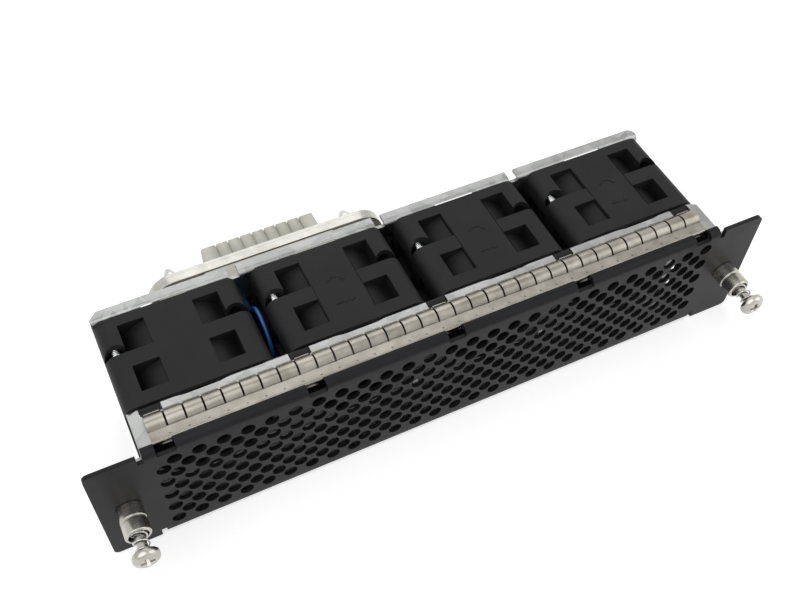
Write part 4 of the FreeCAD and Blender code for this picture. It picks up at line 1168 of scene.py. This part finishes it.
class TRAY_OT_captive_screws(bpy.types.Operator):
    """Captive screws, their sleeves, springs and rings"""

    bl_idname = "tray.captive_screws"
    bl_label = "Captive screws"

    # Depths and radii of the sleeve: its barrel, waist, neck and clinched foot, and its inside.
    SLEEVE = [
        (-8.0, 2.55), (-8.0, 3.0), (-7.7, 3.3), (-4.35, 3.3), (-4.2, 3.05), (-3.8, 3.05), (-3.65, 3.3),
        (-0.05, 3.3), (-0.05, 2.8), (2.2, 2.8), (2.3, 3.45), (2.75, 3.3), (2.8, 1.36), (-1.6, 1.36),
        (-1.6, 2.55),
    ]
    # Depths and radii of the screw: its pan head, shank, ring groove and tip.
    HEAD = -15.2
    SCREW = [
        (HEAD, 0), (HEAD, 1.9), (-15.1, 2.5), (-14.75, 3.05), (-14.2, 3.4), (-13.6, 3.45),
        (-13.1, 3.4), (-12.8, 3.1), (-12.8, 1.3), (2.5, 1.3), (2.52, 1.0), (3.68, 1.0), (3.7, 1.3),
        (5.2, 1.3), (5.6, 0.9), (5.6, 0),
    ]

    def execute(self, context):
        s = context.scene.tray_plate
        for name, sign in SIDES:
            place = (sign * (PLATE_HALF - s.screw_inset), 0, s.screw_height)
            sleeve = bevel(turned(f"sleeve_{name}_barrel", self.SLEEVE, place, 72), 0.1)
            dress(sleeve, "screw", "tray", f"captive_sleeve_{name}")
            screw = turned(f"screw_{name}_head", self.SCREW, place, 64)
            for cutter in cross_recess((place[0], self.HEAD, place[2]), 2.0, 1.5):
                carve(screw, [cutter])
            bevel(screw, 0.06)
            dress(screw, "screw", f"screw_{name}", f"captive_screw_{name}")
            self.clip(name, place)
            self.spring(name, place)
        return {"FINISHED"}

    def clip(self, name, place):
        """The retaining ring: three lugs that grip the screw's groove, open at one side."""
        solid, play = extent(f"captive_ring_{name}"), 0.02
        outer, inner, grip = 2.4, 1.72, 1.04
        start, end, step = 238, -58, 6
        outline = arc(0, 0, outer, end, start, 48)
        for angle in range(start, end - 1, -step):
            lug = abs(angle - 90) < 20 or angle > start - 30 or angle < end + 30
            outline.append(polar(grip if lug else inner, angle))
        place = (place[0], solid.front + play, place[2])
        piece = prism(f"clip_{name}", outline, place, BACKWARD, solid.rear - solid.front - 2 * play)
        bevel(piece, 0.06)
        dress(piece, "spring", f"carrier_{name}", f"captive_ring_{name}")

    def spring(self, name, place):
        """A coil spring with closed ends; its screw's push travel is read but not put to use."""
        x, y, z = place
        front, rear, wire, radius = -12.55, -1.85, 0.24, 1.86
        turns, steps, rise = 7, 18, 0.175
        path = []
        for i, (u, v) in enumerate(arc(0, 0, radius, 0, 360 * turns, turns * steps)):
            t = i / (turns * steps)
            ease = min(max((t - 1 / turns) / (1 - 2 / turns), 0), 1)
            ends = rise * (min(t * turns, 1) - min((1 - t) * turns, 1))
            depth = min(max(front + (rear - front) * ease + ends, front), rear)
            path.append((x + u, y + depth, z + v))
        piece = tube(f"spring_{name}_coil", path, wire, 8)
        dress(piece, "spring", "tray", f"captive_spring_{name}")
        push = f"screw_{name}_push"
        travel = next(j for j in frame["joints"] if j["name"] == push)["range_m"][1]
        reach = (rear - front + 2 * wire) * MM
        tuple(at(x, rear + wire, z))
        1 - travel / reach
        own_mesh(piece)


class TRAY_OT_connector(bpy.types.Operator):
    """Blind-mate connector"""

    bl_idname = "tray.connector"
    bl_label = "Connector"

    # Depths and radii of the domed heads on the shell.
    HEAD = [(0, 0), (0, 1.8), (0.7, 1.8), (1.2, 1.6), (1.5, 1.2), (1.6, 0.7), (1.6, 0)]

    def execute(self, context):
        self.body()
        self.shell()
        dress_node("connector_contacts", "gold", 0.12)
        dress_node("connector_posts", "bright", 0.15)
        screws = extent("connector_screws")
        z, radius = (screws.low + screws.high) / 2, self.HEAD[1][1]
        places = [(x, screws.front, z) for x in (screws.left + radius, screws.right - radius)]
        parts = [turned("head", self.HEAD, place, 40) for place in places]
        dress(join(parts, "connector_screw_heads"), "bright", "tray", "connector_screws")
        return {"FINISHED"}

    def body(self):
        """The moulded block: rounded ends, a raised middle and the grooved mating half."""
        solid = extent("connector_body")
        x, z = (solid.left + solid.right) / 2, (solid.low + solid.high) / 2
        wide = (solid.right - solid.left) / 2
        ways, pitch = 9, 3.6

        def block(name, outline, start, length):
            return prism(name, outline, (x, solid.front + start, z), BACKWARD, length)

        base = block("connector_block", rounded(-wide, wide, -7, 7, 5.6, 14), 0, 14.0)
        middle = [(20.4, -7), (20.4, 7), (19, 8.4)]
        raised = block("raised", [*middle, *mirrored(middle), (-19, -8.4), (19, -8.4)], 0, 11.6)
        mating = bake(bevel(block("mating", rounded(-17, 17, -6, 6, 0.7, 4), 12, 10.0), 0.35, 3))
        grooves = []
        for u in ((k - (ways - 2) / 2) * pitch for k in range(ways - 1)):
            for sides in ((-7, -5.2), (5.2, 7)):
                grooves.append(block("groove", oblong(u - 0.25, u + 0.25, *sides), 16, 7.0))
        carve(mating, grooves)
        mouths = [(k - (ways - 1) / 2) * pitch for k in range(ways)]
        carve(mating, [block("mouth", oblong(u - 0.8, u + 0.8, -3, 3), 17, 6.0) for u in mouths])
        piece = join([bake(bevel(base, 0.6, 4)), bake(bevel(raised, 0.3, 3)), mating])
        dress(piece, "cream", "tray", "connector_body")

    def shell(self):
        """The metal shell: a plate with rounded ends, its rim turned forward."""
        solid = extent("connector_shell")
        x, z = (solid.left + solid.right) / 2, (solid.low + solid.high) / 2
        wide, tall = (solid.right - solid.left) / 2, (solid.high - solid.low) / 2
        corner, skin, thick = 7.5, 0.6, 1.0
        outer = rounded(-wide, wide, -tall, tall, corner, 16)
        hollow = rounded(-wide + skin, wide - skin, -tall + skin, tall - skin, corner - skin, 16)
        window = rounded(-17.2, 17.2, -6.2, 6.2, 0.6, 4)
        # The rim runs a little way into the plate.
        reach = solid.rear - solid.front - thick + 0.1
        rim = prism("rim", outer, (x, solid.front, z), BACKWARD, reach, [hollow])
        plate = prism("plate", outer, (x, solid.rear - thick, z), BACKWARD, thick, [window])
        piece = join([bake(bevel(rim, 0.15)), bake(bevel(plate, 0.2, 3))], "connector_rim")
        dress(piece, "shell", "tray", "connector_shell")


# The lead's route, from the first gap between fans into the rear wall, as the solid model has it.
BLUE_LEAD = [
    (-42.0, 21.5, 14.0),
    (-42.0, 20.0, 27.5),
    (-42.0, 26.5, 35.4),
    (-42.0, 34.0, 34.6),
    (-42.0, 36.8, 26.5),
    (-42.0, 42.8, 26.5),
]


class TRAY_OT_leads(bpy.types.Operator):
    """Fan leads between the housings"""

    bl_idname = "tray.leads"
    bl_label = "Leads"

    def execute(self, context):
        curve = bpy.data.curves.new("blue_lead_insulation", "CURVE")
        curve.dimensions = "3D"
        curve.bevel_depth = 0.54 * MM
        curve.bevel_resolution = 5
        curve.use_fill_caps = True
        curve.resolution_u = 10
        spline = curve.splines.new("NURBS")
        spline.points.add(len(BLUE_LEAD) - 1)
        for point, place in zip(spline.points, BLUE_LEAD):
            point.co = (*at(*place), 1)
        spline.order_u = 3
        spline.use_endpoint_u = True
        piece = bpy.data.objects.new("blue_lead_insulation", curve)
        context.scene.collection.objects.link(piece)
        dress(piece, "blue", "tray", "fan_lead_blue")
        return {"FINISHED"}


class TRAY_OT_studio(bpy.types.Operator):
    """Floor, lights and camera"""

    bl_idname = "tray.studio"
    bl_label = "Studio"

    def execute(self, context):
        scene = context.scene
        scene.view_settings.view_transform = "Standard"
        self.floor()
        self.world(scene)
        self.lamp(scene, "key", (-0.45, -0.30, 0.85), 1.2, 4.6)
        self.lamp(scene, "fill", (0.80, -0.45, 0.60), 1.0, 2.4)
        self.lamp(scene, "back", (0.10, 0.85, 0.70), 1.0, 2.0)
        self.camera(scene)
        return {"FINISHED"}

    def floor(self):
        """A pale floor that is lifted to white for the camera, more so where the lamps don't reach."""
        half, drop = 3.0, 0.0003
        corners = [(u, v, -drop) for u, v in oblong(-half, half, -half, half)]
        piece = new_piece("floor", corners, [[0, 1, 2, 3]])
        f = Finish("pale_floor")
        seen, glossy = (f.node("ShaderNodeLightPath", f"Is {kind} Ray") for kind in ("Camera", "Glossy"))
        away = f.node("ShaderNodeVectorMath", "Value", {"operation": "LENGTH"}, Vector=f.place)
        lift = seen.math("MAXIMUM", glossy) * f.span(away, 0.35, 1.3, 0.5, 0.74)
        surface = f.done(
            Base_Color=f.blend(f.noise(400, 2.0), (0.80, 0.80, 0.80), (0.84, 0.84, 0.84)),
            Roughness=0.8,
            Emission_Color=f.blend(lift, (0, 0, 0), (1, 1, 1)),
            Emission_Strength=1.0,
        )
        piece.data.materials.append(surface)

    def world(self, scene):
        """Soft light from all round, seen and mirrored as plain white."""
        world = bpy.data.worlds.new("studio")
        scene.world = world
        world.use_nodes = True
        world.node_tree.nodes.clear()
        w = Nodes(world.node_tree)
        rays = ("Camera", "Glossy", "Transmission")
        camera, glossy, clear = (w.node("ShaderNodeLightPath", f"Is {kind} Ray") for kind in rays)
        soft, seen = (
            w.node("ShaderNodeBackground", "Background", Color=(1, 1, 1), Strength=strength)
            for strength in (0.34, 1.0)
        )
        shown = camera.math("MAXIMUM", glossy).math("MAXIMUM", clear)
        mix = w.node("ShaderNodeMixShader", "Shader", None, {0: shown, 1: soft, 2: seen})
        plug(w.tree, mix, w.tree.nodes.new("ShaderNodeOutputWorld").inputs["Surface"])

    def lamp(self, scene, name, place, size, power):
        """A round lamp that faces the tray, placed in metres."""
        light = bpy.data.lights.new(name, "AREA")
        light.shape = "DISK"
        light.size = size
        light.energy = power
        lamp = bpy.data.objects.new(name, light)
        scene.collection.objects.link(lamp)
        lamp.location = place
        aim = Vector((0, 0, 0.02)) - Vector(place)
        lamp.rotation_euler = aim.to_track_quat("-Z", "Y").to_euler()

    def camera(self, scene):
        """The photograph's viewpoint, its focal length 1015 pixels of an image 800 wide."""
        lens = bpy.data.cameras.new("camera")
        lens.sensor_width = 36
        lens.lens = 36 * 1015 / 800
        lens.clip_start = 0.01
        camera = bpy.data.objects.new("camera", lens)
        scene.collection.objects.link(camera)
        right = Vector((0.89887, -0.43737, 0.02728))
        down = Vector((-0.33332, -0.72279, -0.60537))
        ahead = Vector((0.28449, 0.53506, -0.79547))
        turn = Matrix((right, -down, -ahead)).transposed().to_4x4()
        camera.matrix_world = Matrix.Translation(at(-82.49, -123.03, 246.29)) @ turn
        scene.camera = camera


class TRAY_PT_panel(bpy.types.Panel):
    """The tray's sizes and the buttons that build its pieces."""

    bl_label = "Fan tray"
    bl_space_type = "VIEW_3D"
    bl_region_type = "UI"
    bl_category = "Fan tray"

    def draw(self, context):
        for group in GROUPS:
            settings = getattr(context.scene, group)
            box = self.layout.box()
            for name in settings.__annotations__:
                box.prop(settings, name)
        for operator in OPERATORS:
            self.layout.operator(operator.bl_idname)


GROUPS = {
    "tray_plate": PlateSettings,
    "tray_gasket": GasketSettings,
    "tray_metal": MetalSettings,
    "tray_fan": FanSettings,
    "tray_colours": ColourSettings,
}
OPERATORS = (
    TRAY_OT_faceplate,
    TRAY_OT_gasket,
    TRAY_OT_front_frame,
    TRAY_OT_pan,
    TRAY_OT_housings,
    TRAY_OT_rotors,
    TRAY_OT_motors,
    TRAY_OT_bolts,
    TRAY_OT_captive_screws,
    TRAY_OT_connector,
    TRAY_OT_leads,
    TRAY_OT_studio,
)


def register():
    for name, group in GROUPS.items():
        bpy.utils.register_class(group)
        setattr(bpy.types.Scene, name, PointerProperty(type=group))
    for operator in OPERATORS:
        bpy.utils.register_class(operator)
    bpy.utils.register_class(TRAY_PT_panel)


def unregister():
    bpy.utils.unregister_class(TRAY_PT_panel)
    for operator in reversed(OPERATORS):
        bpy.utils.unregister_class(operator)
    for name, group in reversed(list(GROUPS.items())):
        delattr(bpy.types.Scene, name)
        bpy.utils.unregister_class(group)


def main():
    register()
    make_materials(bpy.context.scene.tray_colours)
    for operator in OPERATORS:
        category, name = operator.bl_idname.split(".")
        if getattr(getattr(bpy.ops, category), name)() != {"FINISHED"}:
            raise RuntimeError(f"{operator.bl_label} was not built")


if __name__ == "__main__":
    main()
